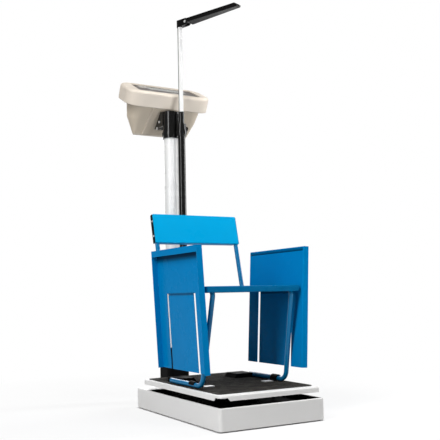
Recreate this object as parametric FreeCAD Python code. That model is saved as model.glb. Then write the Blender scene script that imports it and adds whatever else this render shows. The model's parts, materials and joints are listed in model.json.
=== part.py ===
import FreeCAD, Part
import math
import os

# Column scale with a child's chair clamped on its platform.
# Millimetres, +Z up, the child faces -Y. The origin is the bottom centre of the whole object's box.

V = FreeCAD.Vector
AXIS_X = V(1, 0, 0)
AXIS_Y = V(0, 1, 0)
AXIS_Z = V(0, 0, 1)
SIDES = (-1, 1)

# Shared allowances
overrun = 10.0
fit_clearance = 0.1
side_clearance = 0.4
slide_clearance = 0.3
running_clearance = 0.05
plane_tolerance = 0.001

# Base shell, a folded sheet tray standing on levelling feet
foot_gap = 3.0
base_length = 470.0
base_width = 286.0
base_height = 50.0
base_corner_radius = 9.0
base_sheet = 1.6
base_edge_radius = 2.0
base_lip = 5.0
rear_deck_depth = 62.0
bottom_flange = 14.0

# Base plate and the frame that carries the load cell
plate_thickness = 2.5
frame_height = 14.0
frame_rail_width = 20.0
frame_rail_spacing = 150.0
frame_length = 330.0
frame_wall = 2.0
frame_beam_width = 34.0

# Levelling feet
foot_inset_x = 36.0
foot_inset_y = 40.0
foot_pad_radius = 16.0
foot_neck_radius = 12.0
foot_stud_radius = 4.0
foot_stud_rise = 13.0
foot_nut_flats = 13.0
foot_nut_height = 6.0

# Black deck inside the base
deck_sheet = 1.5
deck_pillar_height = 29.0
deck_pillar_radius = 5.0
deck_pillar_inset = 24.0
deck_window_width = 84.0
deck_window_length = 190.0

# Load cell, a single beam with a pair of joined bores
cell_length = 130.0
cell_width = 30.0
cell_height = 22.0
cell_spacer_height = 4.0
cell_spacer_length = 32.0
cell_bore_radius = 7.5
cell_bore_spacing = 30.0
cell_bridge = 5.0
cell_bolt_head_radius = 5.0
cell_bolt_head_height = 6.0
cell_bolt_spacing = 18.0
stop_radius = 5.0
stop_gap = 2.5

# Platform tray, mat and the spider beneath
platform_gap = 13.5
tray_length = 428.0
tray_side_inset = 5.0
tray_height = 13.0
tray_front_setback = 7.0
tray_corner_radius = 11.0
tray_sheet = 1.5
tray_edge_radius = 4.0
tray_relief_reach = 27.0
tray_relief_height = 7.0
tray_relief_slope = 6.0
mat_thickness = 1.8
mat_side_inset = 8.0
mat_front_inset = 20.0
mat_back_inset = 14.0
mat_corner_radius = 9.0
spider_plate_length = 150.0
spider_plate_width = 60.0
spider_plate_thickness = 4.0
spider_arm_width = 30.0
spider_arm_wall = 2.5
spider_arm_inset = 16.0
spider_arm_y = 55.0

# Chair tubes: sled on the mat, leg, rail under the seat, upright behind the backrest
tube_radius = 6.0
tube_wall = 1.5
tube_side_inset = 13.5
sled_back_setback = 226.0
sled_front_setback = 56.5
leg_top_setback = 6.0
leg_splay = 8.0
foot_bend_radius = 26.0
knee_bend_radius = 15.0
back_bend_radius = 22.0
plug_length = 9.0
plug_flange = 2.0

# Seat pan
seat_height = 241.0
seat_setback = 63.0
seat_side_inset = 6.0
seat_back_gap = 1.0
seat_flange = 14.5
seat_sheet = 1.5
seat_edge_radius = 3.0
seat_corner_radius = 6.0
bar_width = 24.0
bar_wall = 2.0
bar_front_setback = 50.0
bar_back_setback = 42.0

# Backrest panel
back_side_inset = 2.0
back_height = 82.5
back_rise = 123.0
back_setback = 289.0
back_tilt = 13.7
back_sheet = 1.5
back_flange = 15.0
back_edge_radius = 2.0
back_corner_radius = 3.0
upright_top_gap = 8.0

# Side panels, flanged sheets leaning outwards, with two open slots each
panel_height = 300.5
panel_depth = 257.0
panel_back_setback = 4.0
panel_lift = 38.0
panel_low_inset = 5.2
panel_tilt = 3.19
panel_sheet = 1.5
panel_flange = 16.0
panel_lip = 16.0
panel_bend_radius = 2.5
panel_slot_width = 10.0
panel_slot_height = 189.0
panel_slot_spacing = 150.0
panel_crease_width = 4.0
panel_crease_depth = 0.9
spacer_width = 34.0
spacer_margin = 1.5
spacer_setback = 45.0

# Hooks over the sleds, blocks beside their tails, and the bright plates by the hooks
clamp_length = 26.0
clamp_wall = 3.0
clamp_wing = 12.0
clamp_hook = 3.0
clamp_front_y = 102.0
clamp_back_y = 234.0
clamp_block_width = 55.0
clamp_block_length = 56.0
clamp_block_height = 11.0
clamp_block_slope = 7.0
clamp_plate_setback = 12.0
clamp_plate_length = 26.0
clamp_plate_width = 20.0
clamp_plate_thickness = 2.0

# Column and its foot
column_radius = 21.0
column_wall = 2.0
column_setback = 58.0
column_top_gap = 12.0
shoe_flange_height = 8.0
shoe_flange_reach = 30.0
shoe_flange_width = 92.0
shoe_web_thickness = 8.0
shoe_web_height = 40.0
shoe_block_size = 68.0
shoe_block_radius = 11.0
shoe_block_height = 36.0
shoe_taper_height = 26.0
shoe_neck_height = 30.0
shoe_neck_wall = 7.0
shoe_bolt_flats = 13.0
shoe_bolt_head = 6.0
shoe_bolt_radius = 4.0
shoe_bolt_spacing = 70.0
shoe_bolt_setback = 15.0

# Display head
head_setback = 35.0
head_height = 930.0
head_tilt = 27.7
bezel_width = 274.0
bezel_depth = 124.0
bezel_corner_radius = 42.0
bezel_thickness = 46.5
bezel_wall = 4.0
bezel_top_edge_radius = 9.0
bezel_low_edge_radius = 2.5
panel_recess = 3.0
bezel_ledge_depth = 3.0
bezel_ledge_width = 2.4
display_width = 205.0
display_depth = 89.0
display_thickness = 3.0
display_corner_radius = 6.0
shell_wall = 3.0
shell_flange_height = 3.0
body_top_width = 232.0
body_top_depth = 99.0
body_top_radius = 40.0
body_top_shift = 5.5
body_kink_width = 214.0
body_kink_radius = 24.0
body_kink_drop = 70.0
body_kink_back = 70.0
body_kink_front_share = 0.45
body_low_width = 177.0
body_low_depth = 16.0
body_low_radius = 6.0
body_low_drop = 132.0
body_low_front = 40.0
body_rib_spacing = 106.0
body_rib_low_spacing = 125.0
body_rib_width = 4.0
body_rib_height = 2.4

# Display window, display module, board and battery
window_width = 118.0
window_depth = 37.0
window_x = 8.0
window_y = 20.0
window_thickness = 2.0
window_radius = 2.5
module_margin = 3.0
module_depth = 5.0
board_width = 180.0
board_depth = 76.0
board_thickness = 1.6
battery_width = 100.0
battery_depth = 36.0
battery_height = 27.0
battery_radius = 6.0

# Keys
key_count = 4
key_pitch = 40.0
key_width = 17.0
key_depth = 10.0
key_y = -28.0
key_radius = 2.0
key_proud = 1.4
key_travel = 1.0
key_skirt = 1.2
key_skirt_height = 1.2
power_key_width = 24.0
power_key_depth = 17.0
power_key_x = -69.0
power_key_y = 23.0
switch_size = 6.0

# Head bracket: a plate under the head, two cheeks and a sleeve round the column
bracket_plate_thickness = 3.0
bracket_plate_start = 12.0
bracket_plate_length = 61.0
bracket_width = 54.0
bracket_cheek = 4.0
bracket_cheek_drop = 43.0
bracket_sleeve_wall = 3.5
bracket_sleeve_height = 81.0
bracket_sleeve_drop = 76.0
bracket_bolt_head_radius = 3.6
bracket_bolt_head_height = 2.6
bracket_bolt_start = 38.0
bracket_bolt_pitch = 23.0
bracket_bolt_reach = 16.0

# Height gauge in front of the column
gauge_x = 17.0
gauge_offset = 38.0
guide_start = 208.0
guide_length = 520.0
guide_radius = 11.0
guide_wall = 1.95
guide_plug_height = 10.0
guide_plug_flange = 2.0
middle_radius = 8.75
middle_wall = 1.45
middle_length = 480.0
middle_show = 37.0
rod_show = 261.5
rod_inside = 240.0
rod_wall = 1.2
collar_radius = 14.0
collar_overlap = 14.0
collar_rise = 23.0
clip_height = 10.0
clip_band = 2.4
clip_link_width = 10.0
clip_low_rise = 40.0
clip_high_rise = 6.0
knob_angle = 25.0
knob_stem_radius = 2.5
knob_stem_gap = 0.5
knob_radius = 7.5
knob_length = 9.0
knob_gap = 1.0
knob_drop = 11.0
knob_flutes = 10
knob_flute_radius = 1.2

# Knuckle and measuring arm
arm_angle = 21.4
arm_length = 231.0
arm_root = 40.5
arm_height = 13.5
arm_root_width = 29.0
arm_tip_width = 15.5
arm_tip_radius = 6.0
arm_tip_slope = 15.0
arm_tip_face = 4.0
arm_edge_radius = 2.0
arm_pocket_depth = 2.0
arm_pocket_margin = 4.0
arm_rib_count = 7
arm_rib_width = 2.0
arm_tongue_width = 8.0
arm_tongue_radius = 5.3
arm_pivot = 29.0
arm_pin_radius = 2.5
arm_pin_head_radius = 3.8
arm_pin_head_height = 1.6
knuckle_radius = 9.0
knuckle_skirt = 3.0
knuckle_socket = 16.0
knuckle_ear_width = 17.0
knuckle_rise = 4.0
knuckle_drop = 3.0
knuckle_slot_gap = 0.4
knuckle_slot_start = 22.0

# Widths worked out from the base's width
tray_width = base_width - 2 * tray_side_inset
seat_width = tray_width - 2 * seat_side_inset
tube_spacing = seat_width - 2 * tube_side_inset
back_width = seat_width - 2 * back_side_inset
panel_bottom_spread = seat_width - 2 * panel_low_inset

# Heights worked out from the sizes above
shell_top = foot_gap + base_height
plate_bottom = foot_gap + base_sheet
plate_top = plate_bottom + plate_thickness
frame_top = plate_top + frame_height
cell_bottom = frame_top + cell_spacer_height
cell_top = cell_bottom + cell_height
spider_bottom = cell_top + cell_spacer_height
deck_floor = plate_top + deck_pillar_height
deck_top = deck_floor + deck_sheet
tray_low = shell_top + platform_gap
tray_top = tray_low + tray_height
tray_under = tray_top - tray_sheet
mat_top = tray_top + mat_thickness
seat_top = mat_top + seat_height
seat_bottom = seat_top - seat_flange
sled_z = mat_top + tube_radius + fit_clearance
rail_z = seat_top - seat_sheet - fit_clearance - tube_radius
back_low_z = seat_top + back_rise
panel_bottom = mat_top + panel_lift
shoe_top = shell_top + shoe_flange_height
shoe_block_top = shoe_top + shoe_block_height
shoe_taper_top = shoe_block_top + shoe_taper_height
shoe_neck_top = shoe_taper_top + shoe_neck_height
sleeve_top = head_height - bracket_sleeve_drop
guide_bottom = shoe_top + guide_start
guide_top = guide_bottom + guide_length
collar_top = guide_top + collar_rise
middle_top = collar_top + middle_show
knuckle_bottom = middle_top + rod_show
rod_top = knuckle_bottom + knuckle_socket
arm_low = knuckle_bottom + knuckle_skirt
arm_top = arm_low + arm_height
arm_pivot_z = arm_low + arm_height / 2
knuckle_top = arm_top + knuckle_rise
knuckle_low = arm_low - knuckle_drop

# Places along Y, measured from the middle of the base
base_front = -base_length / 2
base_back = base_length / 2
tray_front = base_front + tray_front_setback
tray_middle = tray_front + tray_length / 2
seat_front = tray_front + seat_setback
sled_tail = seat_front + sled_back_setback
panel_middle = seat_front + panel_depth / 2 - panel_back_setback
column_y = base_back + column_setback
head_y = column_y + head_setback
gauge_y = column_y - gauge_offset

# Inclined directions
back_up = V(0, math.sin(math.radians(back_tilt)), math.cos(math.radians(back_tilt)))
back_out = V(0, math.cos(math.radians(back_tilt)), -math.sin(math.radians(back_tilt)))
back_foot = V(0, seat_front + back_setback, back_low_z)
head_place = FreeCAD.Placement(V(0, head_y, head_height), FreeCAD.Rotation(AXIS_X, head_tilt))
arm_place = FreeCAD.Placement(V(gauge_x, gauge_y, 0), FreeCAD.Rotation(AXIS_Z, arm_angle - 90))
shell_seat = panel_recess - bezel_thickness
display_under = -display_thickness
module_bottom = display_under - module_depth
board_bottom = module_bottom - board_thickness


def box(x0, x1, y0, y1, z0, z1):
    """A block between two corners."""
    return Part.makeBox(x1 - x0, y1 - y0, z1 - z0, V(x0, y0, z0))


def cylinder(radius, start, direction, length):
    """A round bar from a point along a direction."""
    return Part.makeCylinder(radius, length, start, direction)


def pipe(outer, inner, x, y, z0, z1):
    """An upright round tube."""
    bar = cylinder(outer, V(x, y, z0), AXIS_Z, z1 - z0)
    return bar.cut(cylinder(inner, V(x, y, z0 - overrun), AXIS_Z, z1 - z0 + 2 * overrun))


def rounded_wire(half_x, half_y, radius):
    """A rounded rectangle round the origin, in the XY plane."""
    c = math.cos(math.radians(45))
    corners = ((1, 1, 1, 0), (-1, 1, 0, 1), (-1, -1, -1, 0), (1, -1, 0, -1))
    edges = []
    last = None
    first = None
    for sx, sy, ux, uy in corners:
        centre = V(sx * (half_x - radius), sy * (half_y - radius), 0)
        start = centre + V(ux, uy, 0) * radius
        middle = centre + V(sx * c, sy * c, 0) * radius
        end = centre + V(sx - ux, sy - uy, 0) * radius
        if last is not None:
            edges.append(Part.LineSegment(last, start).toShape())
        else:
            first = start
        edges.append(Part.Arc(start, middle, end).toShape())
        last = end
    edges.append(Part.LineSegment(last, first).toShape())
    return Part.Wire(edges)


def slab(half_x, half_y, radius, z0, z1, x=0, y=0):
    """An upright block with rounded corners."""
    face = Part.Face(rounded_wire(half_x, half_y, radius))
    solid = face.extrude(V(0, 0, z1 - z0))
    solid.translate(V(x, y, z0))
    return solid


def edges_at_height(shape, z):
    """The edges that lie in one level plane."""
    return [e for e in shape.Edges if abs(e.BoundBox.ZMin - z) + abs(e.BoundBox.ZMax - z) < plane_tolerance]


def hexagon(flats, x, y, z0, z1):
    """An upright six-sided prism."""
    reach = flats / 2 / math.cos(math.radians(30))
    turns = [math.radians(60 * i) for i in range(7)]
    points = [V(x + reach * math.cos(a), y + reach * math.sin(a), z0) for a in turns]
    return Part.Face(Part.makePolygon(points)).extrude(V(0, 0, z1 - z0))


def prism(points, direction):
    """A straight-sided outline pushed along a direction."""
    return Part.Face(Part.makePolygon(points + points[:1])).extrude(direction)


def bent_path(points, radii):
    """Straight runs joined by tangent arcs at the inner points."""
    edges = []
    last = points[0]
    for before, corner, after, radius in zip(points, points[1:], points[2:], radii):
        to_start = (before - corner).normalize()
        to_end = (after - corner).normalize()
        half = to_start.getAngle(to_end) / 2
        reach = radius / math.tan(half)
        bisector = (to_start + to_end).normalize()
        centre = corner + bisector * (radius / math.sin(half))
        start = corner + to_start * reach
        end = corner + to_end * reach
        edges.append(Part.LineSegment(last, start).toShape())
        edges.append(Part.Arc(start, centre - bisector * radius, end).toShape())
        last = end
    edges.append(Part.LineSegment(last, points[-1]).toShape())
    return Part.Wire(edges)


def swept_bar(points, radii, radius):
    """A round bar along a bent path."""
    direction = (points[1] - points[0]).normalize()
    ring = Part.Wire(Part.makeCircle(radius, points[0], direction))
    return bent_path(points, radii).makePipeShell([ring], True, False)


def placed(shape, frame):
    """A piece moved from a local frame to its place."""
    shape.Placement = frame.multiply(shape.Placement)
    return shape


def mirrored(shape):
    """The same piece on the other side of the middle plane."""
    return shape.mirror(V(0, 0, 0), AXIS_X)


def both_sides(shape):
    """A piece and its mirror image as one group."""
    return Part.makeCompound([mirrored(shape), shape])


# Base

def base_shell():
    half_x = base_width / 2
    half_y = base_length / 2
    outer = slab(half_x, half_y, base_corner_radius, foot_gap, shell_top)
    outer = outer.makeFillet(base_edge_radius, edges_at_height(outer, shell_top))
    hollow = slab(half_x - base_sheet, half_y - base_sheet, base_corner_radius - base_sheet,
                  plate_bottom, shell_top - base_sheet)
    mouth_half_x = half_x - base_lip
    mouth_half_y = half_y - (base_lip + rear_deck_depth) / 2
    mouth_y = (base_lip - rear_deck_depth) / 2
    mouth_radius = base_corner_radius - base_lip
    mouth = slab(mouth_half_x, mouth_half_y, mouth_radius, plate_bottom, shell_top + overrun, 0, mouth_y)
    floor_hole = slab(half_x - bottom_flange, half_y - bottom_flange, base_corner_radius,
                      foot_gap - overrun, plate_top)
    return outer.cut(hollow).cut(mouth).cut(floor_hole)


def foot_places():
    x = base_width / 2 - foot_inset_x
    y = base_length / 2 - foot_inset_y
    return [(sx * x, sy * y) for sx in SIDES for sy in SIDES]


def base_plate():
    inset = base_sheet + side_clearance
    plate = slab(base_width / 2 - inset, base_length / 2 - inset, base_corner_radius - base_sheet,
                 plate_bottom, plate_top)
    for x, y in foot_places():
        plate = plate.cut(cylinder(foot_stud_radius + fit_clearance, V(x, y, plate_bottom - overrun),
                                   AXIS_Z, plate_thickness + 2 * overrun))
    return plate


def levelling_feet():
    pads = []
    for x, y in foot_places():
        pad = Part.makeCone(foot_pad_radius, foot_neck_radius, plate_bottom, V(x, y, 0), AXIS_Z)
        stud = cylinder(foot_stud_radius, V(x, y, 0), AXIS_Z, plate_top + foot_stud_rise)
        pads.append(pad.fuse(stud).removeSplitter())
    return Part.makeCompound(pads)


def foot_locknuts():
    nuts = []
    for x, y in foot_places():
        nut = hexagon(foot_nut_flats, x, y, plate_top, plate_top + foot_nut_height)
        bore = cylinder(foot_stud_radius + fit_clearance, V(x, y, plate_top - overrun), AXIS_Z,
                        foot_nut_height + 2 * overrun)
        nuts.append(nut.cut(bore))
    return Part.makeCompound(nuts)


def channel(x0, x1, y0, y1, z0, z1, wall, along_y):
    """An inverted channel, open below, running along X or Y."""
    solid = box(x0, x1, y0, y1, z0, z1)
    if along_y:
        gap = box(x0 + wall, x1 - wall, y0 - overrun, y1 + overrun, z0 - overrun, z1 - wall)
    else:
        gap = box(x0 - overrun, x1 + overrun, y0 + wall, y1 - wall, z0 - overrun, z1 - wall)
    return solid.cut(gap)


def box_tube(x0, x1, y0, y1, z0, z1, wall):
    """A rectangular tube running along X."""
    solid = box(x0, x1, y0, y1, z0, z1)
    return solid.cut(box(x0 - overrun, x1 + overrun, y0 + wall, y1 - wall, z0 + wall, z1 - wall))


def cell_anchor_y():
    """Middle of the load cell's fixed end, at the back."""
    return tray_middle + (cell_length - cell_spacer_length) / 2


def cell_free_y():
    """Middle of the load cell's free end, at the front."""
    return tray_middle - (cell_length - cell_spacer_length) / 2


def base_frame():
    half = frame_rail_spacing / 2
    rails = []
    for side in SIDES:
        x = side * half
        rails.append(channel(x - frame_rail_width / 2, x + frame_rail_width / 2,
                             tray_middle - frame_length / 2, tray_middle + frame_length / 2,
                             plate_top, frame_top, frame_wall, True))
    anchor = cell_anchor_y()
    beam = channel(-half + frame_rail_width / 2, half - frame_rail_width / 2,
                   anchor - frame_beam_width / 2, anchor + frame_beam_width / 2,
                   plate_top, frame_top, frame_wall, False)
    return rails[0].fuse(beam).fuse(rails[1])


def inner_deck():
    inset = base_sheet + side_clearance
    half_x = base_width / 2 - inset
    front = base_front + inset
    back = base_back - inset
    half_y = (back - front) / 2
    radius = base_corner_radius - inset
    wall_top = shell_top - base_sheet - fit_clearance
    pan = slab(half_x, half_y, radius, deck_floor, wall_top)
    hollow = slab(half_x - deck_sheet, half_y - deck_sheet, radius - deck_sheet, deck_top, wall_top + overrun)
    window = box(-deck_window_width / 2, deck_window_width / 2, tray_middle - deck_window_length / 2,
                 tray_middle + deck_window_length / 2, deck_floor - overrun, deck_top + overrun)
    return pan.cut(hollow).cut(window)


def deck_pillars():
    x = base_width / 2 - deck_pillar_inset
    y = base_length / 2 - deck_pillar_inset - foot_inset_y
    pillars = [cylinder(deck_pillar_radius, V(sx * x, sy * y, plate_top), AXIS_Z, deck_pillar_height)
               for sx in SIDES for sy in (-1, 0, 1)]
    return Part.makeCompound(pillars)


def load_cell():
    bar = box(-cell_width / 2, cell_width / 2, tray_middle - cell_length / 2, tray_middle + cell_length / 2,
              cell_bottom, cell_top)
    z = (cell_bottom + cell_top) / 2
    for side in SIDES:
        y = tray_middle + side * cell_bore_spacing / 2
        bar = bar.cut(cylinder(cell_bore_radius, V(-cell_width / 2 - overrun, y, z), AXIS_X,
                               cell_width + 2 * overrun))
    bridge = box(-cell_width / 2 - overrun, cell_width / 2 + overrun, tray_middle - cell_bore_spacing / 2,
                 tray_middle + cell_bore_spacing / 2, z - cell_bridge / 2, z + cell_bridge / 2)
    return bar.cut(bridge)


def cell_spacer(y, z):
    return box(-cell_width / 2, cell_width / 2, y - cell_spacer_length / 2, y + cell_spacer_length / 2,
               z, z + cell_spacer_height)


def cell_lower_spacer():
    return cell_spacer(cell_anchor_y(), frame_top)


def cell_upper_spacer():
    return cell_spacer(cell_free_y(), cell_top)


def load_cell_bolts():
    heads = [cylinder(cell_bolt_head_radius, V(0, cell_anchor_y() + side * cell_bolt_spacing / 2, cell_top),
                      AXIS_Z, cell_bolt_head_height) for side in SIDES]
    return Part.makeCompound(heads)


def stop_places():
    x = tray_width / 2 - tray_sheet - spider_arm_inset - spider_arm_width / 2
    return [(sx * x, tray_middle + sy * spider_arm_y) for sx in SIDES for sy in SIDES]


def overload_stops():
    top = spider_bottom + spider_plate_thickness - stop_gap
    stops = [cylinder(stop_radius, V(x, y, deck_top), AXIS_Z, top - deck_top) for x, y in stop_places()]
    return Part.makeCompound(stops)


# Column

def column_foot():
    half = shoe_flange_width / 2
    block_half = shoe_block_size / 2
    flange = box(-half, half, base_back - shoe_flange_reach, column_y + block_half, shell_top, shoe_top)
    web = box(-half, half, base_back, base_back + shoe_web_thickness, shell_top - shoe_web_height, shell_top)
    block = slab(block_half, block_half, shoe_block_radius, shoe_top, shoe_block_top, 0, column_y)
    neck_radius = column_radius + shoe_neck_wall
    low = rounded_wire(block_half, block_half, shoe_block_radius)
    low.translate(V(0, column_y, shoe_block_top))
    high = rounded_wire(neck_radius, neck_radius, neck_radius - plane_tolerance)
    high.translate(V(0, column_y, shoe_taper_top))
    taper = Part.makeLoft([low, high], True, True)
    neck = cylinder(neck_radius, V(0, column_y, shoe_taper_top), AXIS_Z, shoe_neck_height)
    socket = cylinder(column_radius + fit_clearance, V(0, column_y, shoe_top), AXIS_Z,
                      shoe_neck_top - shoe_top + overrun)
    shoe = flange.fuse(web).fuse(block).fuse(taper).fuse(neck).cut(socket)
    for x, y in shoe_bolt_places():
        shoe = shoe.cut(cylinder(shoe_bolt_radius + fit_clearance, V(x, y, shell_top - overrun), AXIS_Z,
                                 shoe_flange_height + 2 * overrun))
    return shoe.removeSplitter()


def shoe_bolt_places():
    return [(side * shoe_bolt_spacing / 2, base_back - shoe_bolt_setback) for side in SIDES]


def column_foot_bolts():
    bolts = []
    for x, y in shoe_bolt_places():
        head = hexagon(shoe_bolt_flats, x, y, shoe_top, shoe_top + shoe_bolt_head)
        shank = cylinder(shoe_bolt_radius, V(x, y, shell_top), AXIS_Z, shoe_flange_height)
        bolts.append(head.fuse(shank))
    return Part.makeCompound(bolts)


def column_tube():
    top = sleeve_top - column_top_gap
    return pipe(column_radius, column_radius - column_wall, 0, column_y, shoe_top, top)


# Display head

def head_point(y, z):
    """A point of the head's middle plane, from its own tilted frame."""
    return head_place.multVec(V(0, y, z))


def tilted_section(front, back, half_x, radius):
    """A rounded rectangle that spans from a front point to a back point of the middle plane."""
    span = back - front
    wire = rounded_wire(half_x, span.Length / 2, radius)
    turn = math.degrees(math.atan2(span.z, span.y))
    wire.Placement = FreeCAD.Placement((front + back) / 2, FreeCAD.Rotation(AXIS_X, turn))
    return wire


def body_points():
    """Front and back points of the rear shell's three sections, top first."""
    half = body_top_depth / 2
    top = (head_point(-half - body_top_shift, shell_seat), head_point(half - body_top_shift, shell_seat))
    low_front = V(0, head_y + body_low_front, head_height - body_low_drop)
    low = (low_front, low_front + V(0, body_low_depth, 0))
    kink_front = top[0] + (low[0] - top[0]) * body_kink_front_share
    kink = (kink_front, V(0, head_y + body_kink_back, head_height - body_kink_drop))
    return top, kink, low


def body_solid(inset):
    """The rear shell's outline, drawn in by an inset on all sides."""
    sizes = ((body_top_width, body_top_radius), (body_kink_width, body_kink_radius),
             (body_low_width, body_low_radius))
    wires = []
    for (front, back), (width, radius) in zip(body_points(), sizes):
        step = (back - front).normalize() * inset
        wires.append(tilted_section(front + step, back - step, width / 2 - inset, radius - inset))
    return Part.makeLoft(wires, True, True)


def body_ribs():
    """Two ribs down the sloping front wall, further apart at the foot."""
    top, kink, low = body_points()
    length = (low[0] - top[0]).Length
    half = body_rib_width / 2
    ribs = []
    for side in SIDES:
        high_x = side * body_rib_spacing / 2
        low_x = side * body_rib_low_spacing / 2
        z = -body_rib_height / 2
        outline = [V(high_x - half, 0, z), V(high_x + half, 0, z), V(low_x + half, length, z),
                   V(low_x - half, length, z)]
        rib = prism(outline, V(0, 0, body_rib_height - z))
        ribs.append(placed(rib, wall_place()))
    return ribs[0].fuse(ribs[1])


def head_rear_shell():
    outer = body_solid(0)
    inner = body_solid(shell_wall)
    lift = V(0, 0, shell_wall)
    inner.translate(lift)
    flange_inset = bezel_wall + fit_clearance
    flange = slab(bezel_width / 2 - flange_inset, bezel_depth / 2 - flange_inset,
                  bezel_corner_radius - flange_inset, shell_seat, shell_seat + shell_flange_height)
    mouth = slab(body_top_width / 2 - shell_wall, body_top_depth / 2 - shell_wall,
                 body_top_radius - shell_wall, shell_seat - overrun,
                 shell_seat + shell_flange_height + overrun, 0, -body_top_shift)
    flange = flange.cut(mouth)
    flange = placed(flange, head_place)
    return outer.cut(inner).fuse(flange).fuse(body_ribs()).removeSplitter()


def head_bezel():
    half_x = bezel_width / 2
    half_y = bezel_depth / 2
    rim = slab(half_x, half_y, bezel_corner_radius, shell_seat, panel_recess)
    rim = rim.makeFillet(bezel_top_edge_radius, edges_at_height(rim, panel_recess))
    rim = rim.makeFillet(bezel_low_edge_radius, edges_at_height(rim, shell_seat))
    hollow = slab(half_x - bezel_wall, half_y - bezel_wall, bezel_corner_radius - bezel_wall,
                  shell_seat - overrun, display_under - bezel_ledge_depth)
    pocket = slab(display_width / 2 + fit_clearance, display_depth / 2 + fit_clearance,
                  display_corner_radius + fit_clearance, display_under, panel_recess + overrun)
    well = slab(display_width / 2 - bezel_ledge_width, display_depth / 2 - bezel_ledge_width,
                display_corner_radius, shell_seat, panel_recess + overrun)
    rim = rim.cut(hollow).cut(pocket).cut(well)
    return placed(rim, head_place)


def key_places():
    """Middle and size of each key: the row of four, then the power key."""
    first = -key_pitch * (key_count - 1) / 2
    places = [(first + key_pitch * i, key_y, key_width, key_depth) for i in range(key_count)]
    places.append((power_key_x, power_key_y, power_key_width, power_key_depth))
    return places


def display_panel():
    plate = slab(display_width / 2, display_depth / 2, display_corner_radius, display_under, 0)
    window = slab(window_width / 2 + fit_clearance, window_depth / 2 + fit_clearance,
                  window_radius + fit_clearance, display_under - overrun, overrun, window_x, window_y)
    plate = plate.cut(window)
    for x, y, width, depth in key_places():
        hole = slab(width / 2 + slide_clearance, depth / 2 + slide_clearance, key_radius + slide_clearance,
                    display_under - overrun, overrun, x, y)
        plate = plate.cut(hole)
    return placed(plate, head_place)


def display_window():
    lens = slab(window_width / 2, window_depth / 2, window_radius, -window_thickness, 0, window_x, window_y)
    return placed(lens, head_place)


def lcd_module():
    frame = slab(window_width / 2 + module_margin, window_depth / 2 + module_margin, window_radius,
                 module_bottom, display_under, window_x, window_y)
    face = slab(window_width / 2 - fit_clearance, window_depth / 2 - fit_clearance, window_radius,
                display_under, -window_thickness, window_x, window_y)
    power_room = slab(power_key_width / 2 + key_skirt + slide_clearance,
                      power_key_depth / 2 + key_skirt + slide_clearance, key_radius,
                      module_bottom - overrun, overrun, power_key_x, power_key_y)
    module = frame.fuse(face).cut(power_room).removeSplitter()
    return placed(module, head_place)


def main_board():
    board = slab(board_width / 2, board_depth / 2, display_corner_radius, board_bottom, module_bottom)
    return placed(board, head_place)


def key_bottom():
    """Underside of a key's skirt at rest."""
    return display_under - slide_clearance - key_skirt_height


def key_switches():
    top = key_bottom() - key_travel - slide_clearance
    switches = [slab(switch_size / 2, switch_size / 2, key_radius / 2, module_bottom, top, x, y)
                for x, y, width, depth in key_places()]
    group = Part.makeCompound(switches)
    return placed(group, head_place)


def panel_key(place):
    x, y, width, depth = place
    cap = slab(width / 2, depth / 2, key_radius, key_bottom(), key_proud, x, y)
    top_edges = edges_at_height(cap, key_proud)
    cap = cap.makeFillet(key_proud / 2, top_edges)
    skirt = slab(width / 2 + key_skirt, depth / 2 + key_skirt, key_radius, key_bottom(),
                 key_bottom() + key_skirt_height, x, y)
    key = cap.fuse(skirt)
    return placed(key, head_place)


def battery_pack():
    low = board_bottom - battery_height
    pack = slab(battery_width / 2, battery_depth / 2, battery_radius, low, board_bottom)
    return placed(pack, head_place)


# Head bracket

def wall_place():
    """Frame on the head's sloping front wall: X across, Y down the wall, Z out of it."""
    top, kink, low = body_points()
    across = AXIS_X * -1
    down = (low[0] - top[0]).normalize()
    turn = FreeCAD.Rotation(across, down, across.cross(down), "XYZ")
    return FreeCAD.Placement(top[0], turn)


def bracket_plate():
    """The plate that lies on the head's sloping wall."""
    half = bracket_width / 2
    plate = box(-half, half, bracket_plate_start, bracket_plate_start + bracket_plate_length, 0,
                bracket_plate_thickness)
    return placed(plate, wall_place())


def bracket_cheeks():
    """The two upright webs between the column and the plate."""
    frame = wall_place()
    high = frame.multVec(V(0, bracket_plate_start, bracket_plate_thickness))
    low = frame.multVec(V(0, bracket_plate_start + bracket_plate_length, bracket_plate_thickness))
    outline = [(column_y, sleeve_top), (high.y, high.z), (low.y, low.z),
               (column_y, sleeve_top - bracket_cheek_drop)]
    x = bracket_width / 2
    web = prism([V(x, y, z) for y, z in outline], V(-bracket_cheek, 0, 0))
    return web.fuse(mirrored(web))


def head_bracket():
    outer = column_radius + bracket_sleeve_wall
    low = sleeve_top - bracket_sleeve_height
    sleeve = cylinder(outer, V(0, column_y, low), AXIS_Z, bracket_sleeve_height)
    bore = cylinder(column_radius + fit_clearance, V(0, column_y, low - overrun), AXIS_Z,
                    bracket_sleeve_height + 2 * overrun)
    reach = bracket_sleeve_height
    head_side = placed(box(-reach, reach, -reach, reach, -reach, fit_clearance), wall_place())
    sleeve = sleeve.cut(head_side)
    return bracket_plate().fuse(bracket_cheeks()).fuse(sleeve).cut(bore).removeSplitter()


def bracket_bolts():
    """Bolt heads on the outer faces of the cheeks."""
    frame = wall_place()
    bolts = []
    for i in range(2):
        seat = frame.multVec(V(0, bracket_bolt_start + bracket_bolt_pitch * i, bracket_bolt_reach))
        start = V(bracket_width / 2, seat.y, seat.z)
        bolts.append(cylinder(bracket_bolt_head_radius, start, AXIS_X, bracket_bolt_head_height))
    return both_sides(Part.makeCompound(bolts))


# Height gauge

def gauge_guide():
    return pipe(guide_radius, guide_radius - guide_wall, gauge_x, gauge_y, guide_bottom, guide_top)


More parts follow.
